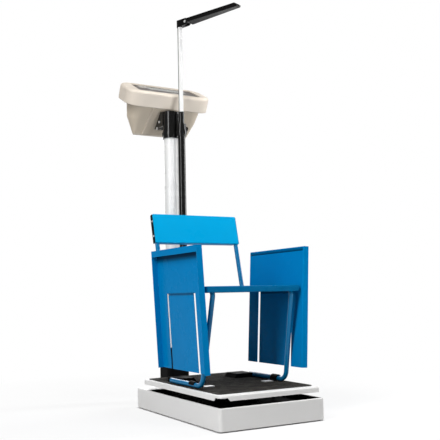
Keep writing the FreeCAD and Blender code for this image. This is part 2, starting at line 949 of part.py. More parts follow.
def guide_end_plug():
    low = guide_bottom - guide_plug_flange
    head = cylinder(guide_radius, V(gauge_x, gauge_y, low), AXIS_Z, guide_plug_flange)
    stem = cylinder(guide_radius - guide_wall - fit_clearance, V(gauge_x, gauge_y, guide_bottom), AXIS_Z,
                    guide_plug_height)
    return head.fuse(stem)


def knob_frame():
    """Frame of the lock knob: X runs outwards from the gauge's axis."""
    place = V(gauge_x, gauge_y, collar_top - knob_drop)
    return FreeCAD.Placement(place, FreeCAD.Rotation(AXIS_Z, knob_angle))


def gauge_collar():
    low = guide_top - collar_overlap
    ring = pipe(collar_radius, middle_radius + slide_clearance, gauge_x, gauge_y, low, collar_top)
    seat = cylinder(guide_radius + fit_clearance, V(gauge_x, gauge_y, low - overrun), AXIS_Z,
                    collar_overlap + overrun)
    hole = cylinder(knob_stem_radius + running_clearance, V(0, 0, 0), AXIS_X, collar_radius + overrun)
    hole = placed(hole, knob_frame())
    return ring.cut(seat).cut(hole)


def lock_knob():
    start = middle_radius + knob_stem_gap
    grip = collar_radius + knob_gap
    stem = cylinder(knob_stem_radius, V(start, 0, 0), AXIS_X, grip - start)
    head = cylinder(knob_radius, V(grip, 0, 0), AXIS_X, knob_length)
    for i in range(knob_flutes):
        turn = math.radians(360 / knob_flutes * i)
        centre = V(grip - overrun, knob_radius * math.cos(turn), knob_radius * math.sin(turn))
        head = head.cut(cylinder(knob_flute_radius, centre, AXIS_X, knob_length + 2 * overrun))
    knob = stem.fuse(head)
    return placed(knob, knob_frame())


def gauge_clip(z, guide_grip, column_grip):
    """A strap that ties the gauge to the column."""
    z1 = z + clip_height
    link = V(gauge_x, gauge_y, 0)
    span = V(0, column_y, 0) - link
    guide_ring = cylinder(guide_grip + clip_band, V(gauge_x, gauge_y, z), AXIS_Z, clip_height)
    column_ring = cylinder(column_grip + clip_band, V(0, column_y, z), AXIS_Z, clip_height)
    bridge = box(0, span.Length, -clip_link_width / 2, clip_link_width / 2, z, z1)
    turn = math.degrees(math.atan2(span.y, span.x))
    bridge = placed(bridge, FreeCAD.Placement(link, FreeCAD.Rotation(AXIS_Z, turn)))
    guide_core = cylinder(guide_grip + fit_clearance, V(gauge_x, gauge_y, z - overrun), AXIS_Z,
                          clip_height + 2 * overrun)
    column_core = cylinder(column_grip + fit_clearance, V(0, column_y, z - overrun), AXIS_Z,
                           clip_height + 2 * overrun)
    return guide_ring.fuse(bridge).fuse(column_ring).cut(guide_core).cut(column_core).removeSplitter()


def gauge_clip_lower():
    return gauge_clip(guide_bottom + clip_low_rise, guide_radius, column_radius)


def gauge_clip_upper():
    z = guide_top - collar_overlap + clip_high_rise
    return gauge_clip(z, collar_radius, column_radius + bracket_sleeve_wall)


def middle_tube():
    low = middle_top - middle_length
    return pipe(middle_radius, middle_radius - middle_wall, gauge_x, gauge_y, low, middle_top)


def rod_radius():
    return middle_radius - middle_wall - slide_clearance


def height_rod():
    low = knuckle_bottom - rod_show - rod_inside
    return pipe(rod_radius(), rod_radius() - rod_wall, gauge_x, gauge_y, low, rod_top)


def arm_knuckle():
    body = cylinder(knuckle_radius, V(0, 0, knuckle_bottom), AXIS_Z, knuckle_top - knuckle_bottom)
    half = knuckle_ear_width / 2
    ears = box(0, arm_pivot, -half, half, knuckle_low, knuckle_top)
    nose = cylinder((knuckle_top - knuckle_low) / 2, V(arm_pivot, -half, (knuckle_top + knuckle_low) / 2),
                    AXIS_Y, knuckle_ear_width)
    slot_half = arm_tongue_width / 2 + knuckle_slot_gap
    slot = box(knuckle_slot_start, arm_root + overrun, -slot_half, slot_half, knuckle_low - overrun,
               knuckle_top + overrun)
    socket = cylinder(rod_radius() + running_clearance, V(0, 0, knuckle_bottom - overrun), AXIS_Z,
                      knuckle_socket + fit_clearance + overrun)
    pin_hole = cylinder(arm_pin_radius + running_clearance, V(arm_pivot, -half - overrun, arm_pivot_z),
                        AXIS_Y, knuckle_ear_width + 2 * overrun)
    knuckle = body.fuse(ears).fuse(nose).cut(slot).cut(socket).cut(pin_hole).removeSplitter()
    return placed(knuckle, arm_place)


def arm_pin():
    half = knuckle_ear_width / 2
    pin = cylinder(arm_pin_radius, V(arm_pivot, -half, arm_pivot_z), AXIS_Y, knuckle_ear_width)
    near_head = cylinder(arm_pin_head_radius, V(arm_pivot, -half - arm_pin_head_height, arm_pivot_z), AXIS_Y,
                         arm_pin_head_height)
    far_head = cylinder(arm_pin_head_radius, V(arm_pivot, half, arm_pivot_z), AXIS_Y, arm_pin_head_height)
    pin = pin.fuse(near_head).fuse(far_head)
    return placed(pin, arm_place)


def arm_half_width(x):
    """Half of the arm's width at a distance from the gauge's axis."""
    share = (x - arm_root) / (arm_length - arm_root)
    return (arm_root_width + (arm_tip_width - arm_root_width) * share) / 2


def arm_tip_wedge():
    """What the sloping end takes off the top of the arm's tip."""
    outline = [(arm_length, arm_low + arm_tip_face), (arm_length - arm_tip_slope, arm_top),
               (arm_length - arm_tip_slope, arm_top + overrun), (arm_length + overrun, arm_top + overrun),
               (arm_length + overrun, arm_low + arm_tip_face)]
    return prism([V(x, -arm_root_width, z) for x, z in outline], V(0, 2 * arm_root_width, 0))


def arm_blank():
    """The tapered bar with rounded upper edges and a rounded, sloping tip."""
    root = arm_half_width(arm_root)
    tip = arm_half_width(arm_length)
    outline = [V(arm_root, -root, arm_low), V(arm_length, -tip, arm_low), V(arm_length, tip, arm_low),
               V(arm_root, root, arm_low)]
    bar = prism(outline, V(0, 0, arm_height))
    tip_edges = [e for e in bar.Edges if e.BoundBox.XMin > arm_length - plane_tolerance
                 and e.BoundBox.ZLength > plane_tolerance]
    bar = bar.makeFillet(arm_tip_radius, tip_edges)
    top_edges = [e for e in edges_at_height(bar, arm_top) if e.BoundBox.XMax > arm_root + plane_tolerance]
    bar = bar.makeFillet(arm_edge_radius, top_edges)
    return bar.cut(arm_tip_wedge())


def measuring_arm():
    bar = arm_blank()
    start = arm_root + arm_pocket_margin
    end = arm_length - arm_tip_radius - arm_pocket_margin
    bay = (end - start - arm_rib_width * (arm_rib_count - 1)) / arm_rib_count
    for i in range(arm_rib_count):
        x0 = start + i * (bay + arm_rib_width)
        half = arm_half_width(x0 + bay) - arm_pocket_margin
        bar = bar.cut(box(x0, x0 + bay, -half, half, arm_low - overrun, arm_low + arm_pocket_depth))
    half = arm_tongue_width / 2
    tongue = box(arm_pivot, arm_root + plane_tolerance, -half, half, arm_pivot_z - arm_tongue_radius,
                 arm_pivot_z + arm_tongue_radius)
    eye = cylinder(arm_tongue_radius, V(arm_pivot, -half, arm_pivot_z), AXIS_Y, arm_tongue_width)
    hole = cylinder(arm_pin_radius + running_clearance, V(arm_pivot, -half - overrun, arm_pivot_z),
                    AXIS_Y, arm_tongue_width + 2 * overrun)
    arm = bar.fuse(tongue).fuse(eye).cut(hole).removeSplitter()
    return placed(arm, arm_place)


# Platform

def tray_relief(side_x, side_y):
    """The notch in the lower skirt at one corner, with sloping ends."""
    x = side_x * tray_width / 2
    y = tray_middle + side_y * tray_length / 2
    z0 = tray_low - overrun
    z1 = tray_low
    z2 = tray_low + tray_relief_height
    wide = tray_relief_reach
    narrow = tray_relief_reach - tray_relief_slope

    def square(reach, z):
        a = V(x + side_x * overrun, y + side_y * overrun, z)
        b = V(x - side_x * reach, y + side_y * overrun, z)
        c = V(x - side_x * reach, y - side_y * reach, z)
        d = V(x + side_x * overrun, y - side_y * reach, z)
        return Part.makePolygon([a, b, c, d, a])

    return Part.makeLoft([square(wide, z0), square(wide, z1), square(narrow, z2)], True, True)


def platform_tray():
    half_x = tray_width / 2
    half_y = tray_length / 2
    outer = slab(half_x, half_y, tray_corner_radius, tray_low, tray_top, 0, tray_middle)
    outer = outer.makeFillet(tray_edge_radius, edges_at_height(outer, tray_top))
    hollow = slab(half_x - tray_sheet, half_y - tray_sheet, tray_corner_radius - tray_sheet,
                  tray_low - overrun, tray_under, 0, tray_middle)
    hollow = hollow.makeFillet(tray_edge_radius - tray_sheet, edges_at_height(hollow, tray_under))
    tray = outer.cut(hollow)
    for side_x in SIDES:
        for side_y in SIDES:
            tray = tray.cut(tray_relief(side_x, side_y))
    return tray


def platform_mat():
    half_x = tray_width / 2 - mat_side_inset
    half_y = (tray_length - mat_front_inset - mat_back_inset) / 2
    y = tray_middle + (mat_front_inset - mat_back_inset) / 2
    return slab(half_x, half_y, mat_corner_radius, tray_top, mat_top, 0, y)


def platform_spider():
    free_y = cell_free_y()
    plate = box(-spider_plate_width / 2, spider_plate_width / 2, free_y - cell_spacer_length / 2,
                tray_middle + spider_plate_length / 2, spider_bottom, spider_bottom + spider_plate_thickness)
    clear = cell_anchor_y() - cell_bolt_spacing - cell_bolt_head_radius
    room = box(-cell_width / 2, cell_width / 2, clear, tray_middle + spider_plate_length,
               spider_bottom - overrun, spider_bottom + spider_plate_thickness + overrun)
    spider = plate.cut(room)
    reach = tray_width / 2 - tray_sheet - spider_arm_inset
    low = spider_bottom + spider_plate_thickness
    for side in SIDES:
        y = tray_middle + side * spider_arm_y
        arm = box_tube(-reach, reach, y - spider_arm_width / 2, y + spider_arm_width / 2, low, tray_under,
                       spider_arm_wall)
        spider = spider.fuse(arm)
    return spider.removeSplitter()


# Chair

def upright_x():
    return back_width / 2 - back_sheet - side_clearance - tube_radius


def upright_point(z):
    """A point of the upright's axis at a height."""
    axis = back_foot + back_out * (back_sheet + fit_clearance + tube_radius)
    rise = (z - axis.z) / back_up.z
    point = axis + back_up * rise
    return V(upright_x(), point.y, z)


def back_bend_start():
    """Where the rail under the seat begins to turn up into the upright."""
    half = math.radians(90 + back_tilt) / 2
    return upright_point(rail_z).y - back_bend_radius / math.tan(half)


def seat_back():
    return back_bend_start() - seat_back_gap


def frame_points():
    x = tube_spacing / 2
    top = back_low_z + (back_height - upright_top_gap) * back_up.z
    return [V(x, sled_tail, sled_z), V(x, seat_front + sled_front_setback, sled_z),
            V(x - leg_splay, seat_front + leg_top_setback, rail_z), upright_point(rail_z),
            upright_point(top)]


def chair_frame_right():
    radii = (foot_bend_radius, knee_bend_radius, back_bend_radius)
    points = frame_points()
    outer = swept_bar(points, radii, tube_radius)
    inner = swept_bar(points, radii, tube_radius - tube_wall)
    return outer.cut(inner)


def chair_frame_left():
    return mirrored(chair_frame_right())


def tube_end_plugs():
    points = frame_points()
    plugs = []
    for end, inside in ((points[0], points[1]), (points[-1], points[-2])):
        into = (inside - end).normalize()
        stem = cylinder(tube_radius - tube_wall - fit_clearance, end, into, plug_length)
        cap = cylinder(tube_radius, end, into * -1, plug_flange)
        plugs.append(stem.fuse(cap))
    return both_sides(Part.makeCompound(plugs))


def seat_pan():
    half_x = seat_width / 2
    half_y = (seat_back() - seat_front) / 2
    y = seat_front + half_y
    outer = slab(half_x, half_y, seat_corner_radius, seat_bottom, seat_top, 0, y)
    outer = outer.makeFillet(seat_edge_radius, edges_at_height(outer, seat_top))
    hollow = slab(half_x - seat_sheet, half_y - seat_sheet, seat_corner_radius - seat_sheet,
                  seat_bottom - overrun, seat_top - seat_sheet, 0, y)
    hollow = hollow.makeFillet(seat_edge_radius - seat_sheet, edges_at_height(hollow, seat_top - seat_sheet))
    pan = outer.cut(hollow)
    reach = tube_radius + side_clearance
    for side in SIDES:
        x = side * rail_x(seat_back())
        pan = pan.cut(box(x - reach, x + reach, seat_back() - seat_edge_radius, seat_back() + overrun,
                          seat_bottom - overrun, seat_top - seat_sheet))
    return pan


def rail_x(y):
    """Distance of the rail's axis from the middle plane at a place along it."""
    knee, corner = frame_points()[2:4]
    return knee.x + (corner.x - knee.x) * (y - knee.y) / (corner.y - knee.y)


def seat_cross_bars():
    bars = []
    for y in (seat_front + bar_front_setback, seat_back() - bar_back_setback):
        half_x = rail_x(y - bar_width / 2) - tube_radius - fit_clearance
        bar = channel(-half_x, half_x, y - bar_width / 2, y + bar_width / 2, seat_bottom,
                      seat_top - seat_sheet, bar_wall, False)
        bars.append(bar)
    return Part.makeCompound(bars)


def backrest_panel():
    half_x = back_width / 2
    half_z = back_height / 2
    pan = slab(half_x, half_z, back_corner_radius, -back_flange, 0)
    pan = pan.makeFillet(back_edge_radius, edges_at_height(pan, 0))
    hollow = slab(half_x - back_sheet, half_z - back_sheet, back_corner_radius - back_sheet,
                  -back_flange - overrun, -back_sheet)
    pan = pan.cut(hollow)
    reach = tube_radius + side_clearance
    for side in SIDES:
        x = side * upright_x()
        slot = box(x - reach, x + reach, -half_z - overrun, -half_z + back_sheet + overrun,
                   -back_flange - overrun, -back_sheet)
        pan = pan.cut(slot)
    turn = FreeCAD.Rotation(AXIS_X, back_up, back_out * -1, "XYZ")
    return placed(pan, FreeCAD.Placement(back_foot + back_up * half_z, turn))


def panel_place():
    """Frame of the right side panel: X outwards through its face, Z up along it."""
    foot = V(panel_bottom_spread / 2, panel_middle, panel_bottom)
    return FreeCAD.Placement(foot, FreeCAD.Rotation(AXIS_Y, panel_tilt))


def side_panel_right():
    half_y = panel_depth / 2
    sheet = box(0, panel_flange, -half_y, half_y, 0, panel_height)
    bends = [e for e in sheet.Edges if e.BoundBox.XMax < plane_tolerance
             and e.BoundBox.ZMax > panel_height / 2]
    sheet = sheet.makeFillet(panel_bend_radius, bends)
    hollow = box(panel_sheet, panel_flange + overrun, -half_y + panel_sheet, half_y - panel_sheet, -overrun,
                 panel_height - panel_sheet)
    lip = box(panel_flange - panel_sheet, panel_flange, -half_y, half_y, panel_height - panel_lip,
              panel_height)
    panel = sheet.cut(hollow).fuse(lip)
    for side in SIDES:
        y = side * panel_slot_spacing / 2
        slot = box(-overrun, panel_sheet + overrun, y - panel_slot_width / 2, y + panel_slot_width / 2,
                   -overrun, panel_slot_height)
        panel = panel.cut(slot)
    crease = box(panel_sheet - panel_crease_depth, panel_sheet + overrun, -panel_slot_spacing / 2,
                 panel_slot_spacing / 2, panel_slot_height - panel_crease_width, panel_slot_height)
    panel = panel.cut(crease).removeSplitter()
    return placed(panel, panel_place())


def side_panel_left():
    return mirrored(side_panel_right())


def panel_spacers():
    """Blocks between the seat's side flange and the leaning panel."""
    lean = math.tan(math.radians(panel_tilt))
    x0 = seat_width / 2
    z0 = seat_bottom + spacer_margin
    z1 = seat_top - seat_edge_radius - spacer_margin
    x_low = panel_bottom_spread / 2 + (z0 - panel_bottom) * lean
    x_high = panel_bottom_spread / 2 + (z1 - panel_bottom) * lean
    blocks = []
    for y in (seat_front + spacer_setback, seat_back() - spacer_setback - spacer_width):
        outline = [V(x0, y, z0), V(x_low, y, z0), V(x_high, y, z1), V(x0, y, z1)]
        blocks.append(prism(outline, V(0, spacer_width, 0)))
    return both_sides(Part.makeCompound(blocks))


def tube_clamp(y):
    """A hook over the sled with a wing on its inner side, on the mat."""
    x = tube_spacing / 2
    inner = tube_radius + fit_clearance
    outer = inner + clamp_wall
    y0 = y - clamp_length / 2
    arch = cylinder(outer, V(x, y0, sled_z), AXIS_Y, clamp_length)
    leg = box(x - outer, x, y0, y0 + clamp_length, mat_top, sled_z)
    wing = box(x - outer - clamp_wing, x, y0, y0 + clamp_length, mat_top, mat_top + clamp_wall)
    below = box(x - outer, x + outer, y0 - overrun, y0 + clamp_length + overrun, mat_top - outer, mat_top)
    beyond = box(x + clamp_hook, x + outer, y0 - overrun, y0 + clamp_length + overrun, mat_top - outer,
                 sled_z + outer)
    core = cylinder(inner, V(x, y0 - overrun, sled_z), AXIS_Y, clamp_length + 2 * overrun)
    throat = box(x - inner, x + outer, y0 - overrun, y0 + clamp_length + overrun, mat_top - outer, sled_z)
    hook = arch.cut(below).fuse(leg).fuse(wing).cut(beyond).cut(core).cut(throat)
    return hook.removeSplitter()


def clamp_block():
    """A block that wedges the sled from its inner side, with a sloping back."""
    x1 = tube_spacing / 2 - tube_radius - fit_clearance
    x0 = x1 - clamp_block_width
    y = seat_front + clamp_back_y - clamp_block_length / 2
    z1 = mat_top + clamp_block_height
    outline = [V(x0, y, mat_top), V(x1, y, mat_top), V(x1, y, z1), V(x0 + clamp_block_slope, y, z1)]
    return prism(outline, V(0, clamp_block_length, 0))


def chair_clamps():
    return both_sides(Part.makeCompound([tube_clamp(seat_front + clamp_front_y), clamp_block()]))


def clamp_plates():
    edge = tube_spacing / 2 - tube_radius - fit_clearance - clamp_wall - clamp_wing
    y = seat_front + clamp_front_y - clamp_plate_setback
    plate = slab(clamp_plate_length / 2, clamp_plate_width / 2, clamp_plate_thickness, mat_top,
                 mat_top + clamp_plate_thickness, edge - clamp_plate_length / 2, y)
    return both_sides(plate)


def pieces():
    """Every piece by its name, placed round the middle of the base."""
    found = {}
    makers = (base_shell, base_plate, base_frame, inner_deck, deck_pillars, levelling_feet, foot_locknuts,
              load_cell, cell_lower_spacer, load_cell_bolts, overload_stops, column_foot, column_foot_bolts,
              column_tube, head_bracket, bracket_bolts, head_bezel, head_rear_shell, display_panel,
              display_window, lcd_module, main_board, key_switches, battery_pack, gauge_guide, gauge_collar,
              guide_end_plug, gauge_clip_lower, gauge_clip_upper, lock_knob, middle_tube, height_rod,
              arm_knuckle, arm_pin, measuring_arm, platform_tray, platform_mat, platform_spider,
              cell_upper_spacer, chair_frame_left, chair_frame_right, tube_end_plugs, seat_cross_bars,
              seat_pan, backrest_panel, side_panel_left, side_panel_right, panel_spacers, chair_clamps,
              clamp_plates)
    for maker in makers:
        found[maker.__name__] = maker()
    places = key_places()
    for i in range(key_count):
        found["key_%d" % (i + 1)] = panel_key(places[i])
    found["power_key"] = panel_key(places[key_count])
    return found


def main():
    os.makedirs("parts", exist_ok=True)
    found = pieces()
    whole = FreeCAD.BoundBox()
    for shape in found.values():
        whole.add(shape.optimalBoundingBox(True, False))
    to_origin = V(0, -(whole.YMin + whole.YMax) / 2, 0)
    for name, shape in found.items():
        shape.translate(to_origin)
        shape.exportStep("parts/%s.step" % name)
        print(name, len(shape.Solids), shape.isValid(), round(shape.Volume))
    print("moved along Y by", round(to_origin.y, 3), "box", whole)


if __name__ == "__main__":
    main()
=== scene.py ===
import json
import math

import bmesh
import bpy
from bpy.props import FloatProperty, FloatVectorProperty, IntProperty, PointerProperty
from mathutils import Matrix, Vector


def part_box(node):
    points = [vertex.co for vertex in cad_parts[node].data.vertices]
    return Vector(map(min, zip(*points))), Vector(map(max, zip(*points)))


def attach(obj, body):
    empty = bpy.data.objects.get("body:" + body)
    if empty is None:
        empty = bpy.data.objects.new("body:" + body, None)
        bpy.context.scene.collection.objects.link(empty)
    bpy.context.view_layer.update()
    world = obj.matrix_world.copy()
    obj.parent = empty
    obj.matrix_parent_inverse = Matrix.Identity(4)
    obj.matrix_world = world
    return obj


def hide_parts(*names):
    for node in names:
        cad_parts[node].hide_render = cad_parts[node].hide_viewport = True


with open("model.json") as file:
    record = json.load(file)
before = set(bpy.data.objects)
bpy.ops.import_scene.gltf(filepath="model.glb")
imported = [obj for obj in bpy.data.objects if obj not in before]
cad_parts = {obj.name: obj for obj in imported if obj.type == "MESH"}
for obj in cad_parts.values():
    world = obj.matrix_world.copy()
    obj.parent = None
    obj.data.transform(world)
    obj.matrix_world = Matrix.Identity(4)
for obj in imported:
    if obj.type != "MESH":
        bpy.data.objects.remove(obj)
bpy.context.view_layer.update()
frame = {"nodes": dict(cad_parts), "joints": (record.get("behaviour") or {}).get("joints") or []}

bl_info = {
    "name": "Column scale with a child's chair",
    "version": (1, 0, 0),
    "blender": (4, 5, 0),
    "location": "View3D > Sidebar > Column scale",
    "description": "Finishes, fittings, printed marks and studio for the packed column scale",
    "category": "Object",
}

MM = 0.001
SIDES = (-1, 1)
UP = Vector((0, 0, 1))


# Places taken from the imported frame

def middle(node):
    """Centre of a node's box."""
    low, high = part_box(node)
    return (low + high) / 2


def half_size(low, high):
    """Half the sides of a box."""
    return [(end - start) / 2 for start, end in zip(low, high)]


def reach_between(node, y0, y1):
    """Greatest distance of a node's vertices from the middle plane between two places along it."""
    slack = 0.1 * MM
    return max(abs(v.co.x) for v in frame["nodes"][node].data.vertices if y0 - slack < v.co.y < y1 + slack)


def gauge_link():
    """The level line from the column's axis to the gauge's."""
    link = middle("gauge_guide") - middle("column_tube")
    link.z = 0
    return link


def head_frame():
    """Frame of the display face: X across, Y up the slope, Z out of the face."""
    press = next(joint for joint in frame["joints"] if joint["name"] == "key_1_press")
    out = -Vector(press["axis"]).normalized()
    tilt = math.atan2(-out.y, out.z)
    _, half_y, half_z = half_size(*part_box("display_panel"))
    half_thick = (half_z * math.cos(tilt) - half_y * math.sin(tilt)) / math.cos(2 * tilt)
    return Matrix.Translation(middle("display_panel") + out * half_thick) @ Matrix.Rotation(tilt, 4, "X")


def facing(point, direction):
    """Frame at a point whose Z runs along a direction."""
    turn = Vector(direction).to_track_quat("Z", "Y").to_matrix().to_4x4()
    return Matrix.Translation(point) @ turn


# Settings

def colour(label, text, value):
    return FloatVectorProperty(name=label, description=text, default=value, subtype="COLOR", size=3, min=0, max=1)


def length(label, text, millimetres):
    return FloatProperty(name=label, description=text, default=millimetres * MM, unit="LENGTH", min=0)


def watts(label, text, value):
    return FloatProperty(name=label, description=text, default=value, unit="POWER", min=0)


class ScaleFinishes(bpy.types.PropertyGroup):
    """Colours of the finishes, in linear light."""
    white: colour("White powder coat", "Base and platform edge", (0.82, 0.815, 0.805))
    column_white: colour("White gloss enamel", "Column", (0.80, 0.80, 0.795))
    rod_white: colour("Rod enamel", "Height rod", (0.75, 0.75, 0.745))
    # The chair is one blue paint: the backrest's lighter blue is painted light, the seat's and the tubes' darker blues
    # painted shade
    bright_blue: colour("Bright blue enamel", "Backrest", (0.0, 0.335, 0.64))
    blue: colour("Blue enamel", "Side panels", (0.0, 0.215, 0.53))
    seat_blue: colour("Deep blue enamel", "Seat pan and its cross bars", (0.0, 0.138, 0.33))
    tube_blue: colour("Tube blue enamel", "Bent tubes of the chair", (0.0, 0.17, 0.38))
    black: colour("Black enamel", "Bracket, guide, collar, straps, middle tube and arm", (0.004, 0.004, 0.004))
    moulding: colour("Black moulding", "Column foot, clamps and end trims", (0.0045, 0.0045, 0.0045))
    # The housing is the same plastic as the bezel; its darker colour below is painted shade under the rim
    case: colour("Head plastic", "Bezel of the head", (0.68, 0.61, 0.525))
    shell: colour("Housing plastic", "Rear shell of the head", (0.57, 0.495, 0.395))
    film: colour("Display film", "Face of the display", (0.09, 0.075, 0.066))
    glass: colour("Window tint", "Clear window over the digits", (0.80, 0.83, 0.80))
    rubber: colour("Mat rubber", "Ribbed mat on the platform", (0.009, 0.008, 0.007))
    steel: colour("Bright steel", "Screws, rivets and plates", (0.80, 0.80, 0.79))


class ScaleFittings(bpy.types.PropertyGroup):
    """Sizes of the fittings and of the printed marks."""
    rib_pitch: length("Rib pitch", "Spacing of the mat's ribs", 3.2)
    rib_depth: length("Rib depth", "Height of the mat's ribs", 0.7)
    mat_border: length("Mat border", "Plain edge round the ribs", 5)
    mat_corner: length("Mat corner", "Corner radius of the mat", 9)
    rivet_radius: length("Rivet radius", "Dome rivets of the backrest", 2.6)
    screw_radius: length("Screw radius", "Pan heads under the base, on the straps and on the hooks", 3.2)
    weld_radius: length("Weld radius", "Half the thickness of a weld bead", 1.7)
    ink_depth: length("Ink depth", "Half the thickness of a printed mark", 0.05)
    numeral_height: length("Numeral height", "Figures on the height rod", 4.4)
    first_mark: IntProperty(name="First mark", description="Lowest height on the rod, in centimetres", default=80)
    last_mark: IntProperty(name="Last mark", description="Greatest height on the rod, in centimetres", default=119)


class ScaleStudio(bpy.types.PropertyGroup):
    """Lamps and backdrop."""
    strip_power: watts("Strip lamp", "Tall lamp to the left", 20)
    side_power: watts("Side lamp", "High soft lamp to the left of the camera", 38)
    front_power: watts("Front lamp", "High soft lamp in front", 27)
    head_power: watts("Head lamp", "Narrow low lamp on the display head", 0.6)
    right_power: watts("Right lamp", "Tall soft lamp to the right of the object", 36)
    back_power: watts("Back lamp", "Soft lamp behind the object", 15)
    top_power: watts("Top lamp", "Wide soft lamp above", 8)
    room: FloatProperty(name="Room light", description="Even light from all round", default=0.15, min=0)
    shadow: FloatProperty(name="Floor shadow", description="Share of the floor that takes shadow", default=0.23,
                          min=0, max=1, subtype="FACTOR")


# Node trees

COLOUR_SOCKETS = ("Color", "Second", "Dust", "Bare", "Grime", "Far")
MIX_A, MIX_B, MIX_RESULT = 6, 7, 2  # places of the Mix node's colour sockets
NOISE_LOW, NOISE_HIGH = 0.3, 0.7  # most values of a noise lie between these


def join(tree, kind, inputs=None, **settings):
    """Adds a node, sets its options and fills its inputs with values or links."""
    node = tree.nodes.new(kind)
    for key, value in settings.items():
        setattr(node, key, value)
    for key, value in (inputs or {}).items():
        if isinstance(value, bpy.types.NodeSocket):
            tree.links.new(value, node.inputs[key])
        else:
            node.inputs[key].default_value = value
    return node


def math_node(tree, operation, a, b=0.0, clamp=False):
    return join(tree, "ShaderNodeMath", {0: a, 1: b}, operation=operation, use_clamp=clamp).outputs[0]


def product(tree, value, *others, clamp=False):
    """Multiplies values; clamp keeps the last product between zero and one."""
    for other in others[:-1]:
        value = math_node(tree, "MULTIPLY", value, other)
    return math_node(tree, "MULTIPLY", value, others[-1], clamp)


def spread(tree, value, low, high, to_low=0.0, to_high=1.0):
    """Maps a range of values to another, clamped."""
    inputs = {"Value": value, "From Min": low, "From Max": high, "To Min": to_low, "To Max": to_high}
    return join(tree, "ShaderNodeMapRange", inputs).outputs["Result"]


def blended(tree, share, a, b):
    """Mixes two colours."""
    inputs = {"Factor": share, MIX_A: a, MIX_B: b}
    return join(tree, "ShaderNodeMix", inputs, data_type="RGBA").outputs[MIX_RESULT]


def noise(tree, coordinates, scale, detail=2.0, rough=0.5):
    inputs = {"Vector": coordinates, "Scale": scale, "Detail": detail, "Roughness": rough}
    return join(tree, "ShaderNodeTexNoise", inputs).outputs["Fac"]


def gloss_drift(tree, value, given):
    """Roughness between a group's two limits, from a noise."""
    return spread(tree, value, NOISE_LOW, NOISE_HIGH, given["Smooth"], given["Dull"])


def own_coordinates(tree):
    return join(tree, "ShaderNodeTexCoord").outputs["Object"]


def parts_of(tree, vector):
    return join(tree, "ShaderNodeSeparateXYZ", {"Vector": vector}).outputs


def new_group(name, inputs, outputs):
    """A shader node group with named sockets; returns the tree and its input sockets."""
    tree = bpy.data.node_groups.new(name, "ShaderNodeTree")
    for side, labels in (("INPUT", inputs), ("OUTPUT", outputs)):
        for label in labels.split(", "):
            kind = "NodeSocketColor" if label in COLOUR_SOCKETS else "NodeSocketFloat"
            tree.interface.new_socket(label, in_out=side, socket_type=kind)
    return tree, join(tree, "NodeGroupInput").outputs


def closed(tree, **results):
    """Links a group's results to its output."""
    join(tree, "NodeGroupOutput", results)
    return tree


def skin_group():
    """Orange peel of a sprayed coat and the drift of its gloss."""
    tree, given = new_group("Sprayed skin", "Peel, Smooth, Dull", "Height, Roughness")
    where = own_coordinates(tree)
    peel = noise(tree, where, given["Peel"], rough=0.45)
    drift = noise(tree, where, 11.0, detail=4.0, rough=0.6)
    return closed(tree, Height=peel, Roughness=gloss_drift(tree, drift, given))


def tone_group():
    """Slow drift of a colour towards a second one."""
    tree, given = new_group("Tone drift", "Color, Second, Size, Amount", "Color")
    patch = noise(tree, own_coordinates(tree), given["Size"], detail=5.0, rough=0.62)
    share = product(tree, spread(tree, patch, low=0.36, high=0.68), given["Amount"])
    return closed(tree, Color=blended(tree, share, given["Color"], given["Second"]))


def dust_group():
    """Dust that settles on faces that look up."""
    tree, given = new_group("Settled dust", "Color, Dust, Amount", "Color, Mask")
    lift = parts_of(tree, join(tree, "ShaderNodeNewGeometry").outputs["Normal"])["Z"]
    where = own_coordinates(tree)
    coarse = spread(tree, noise(tree, where, 26.0, detail=6.0, rough=0.7), low=0.35, high=0.75)
    fine = spread(tree, noise(tree, where, 900.0, detail=1.0), low=0.45, high=0.7)
    least_fine = 0.35
    mask = product(tree, coarse, math_node(tree, "ADD", fine, least_fine), spread(tree, lift, low=0.55, high=0.98),
                   given["Amount"], clamp=True)
    return closed(tree, Color=blended(tree, mask, given["Color"], given["Dust"]), Mask=mask)


def edge_group():
    """Rubbed and chipped coat along sharp edges; with full cover it lays a painted highlight along them instead. Cover
    fills the gaps between the chips.
    """
    tree, given = new_group("Rubbed edge", "Color, Bare, Width, Cover, Amount", "Color")
    rounded = join(tree, "ShaderNodeBevel", {"Radius": given["Width"]}, samples=4).outputs["Normal"]
    flat = join(tree, "ShaderNodeNewGeometry").outputs["Normal"]
    dot = join(tree, "ShaderNodeVectorMath", {0: rounded, 1: flat}, operation="DOT_PRODUCT").outputs["Value"]
    edge = spread(tree, dot, low=0.985, high=0.86)
    chips = noise(tree, own_coordinates(tree), 170.0, detail=5.0, rough=0.72)
    chips = math_node(tree, "MAXIMUM", spread(tree, chips, low=0.5, high=0.64), given["Cover"])
    mask = product(tree, edge, chips, given["Amount"], clamp=True)
    return closed(tree, Color=blended(tree, mask, given["Color"], given["Bare"]))


def grain_group():
    """Spark-eroded grain of a moulded face."""
    tree, given = new_group("Moulded grain", "Grain, Smooth, Dull", "Height, Roughness")
    where = own_coordinates(tree)
    cells = join(tree, "ShaderNodeTexVoronoi", {"Vector": where, "Scale": given["Grain"]}).outputs["Distance"]
    cell_share = 0.6
    fine = noise(tree, where, given["Grain"], detail=3.0, rough=0.6)
    height = math_node(tree, "ADD", product(tree, cells, cell_share), fine)
    drift = noise(tree, where, 16.0, detail=4.0, rough=0.6)
    return closed(tree, Height=height, Roughness=gloss_drift(tree, drift, given))


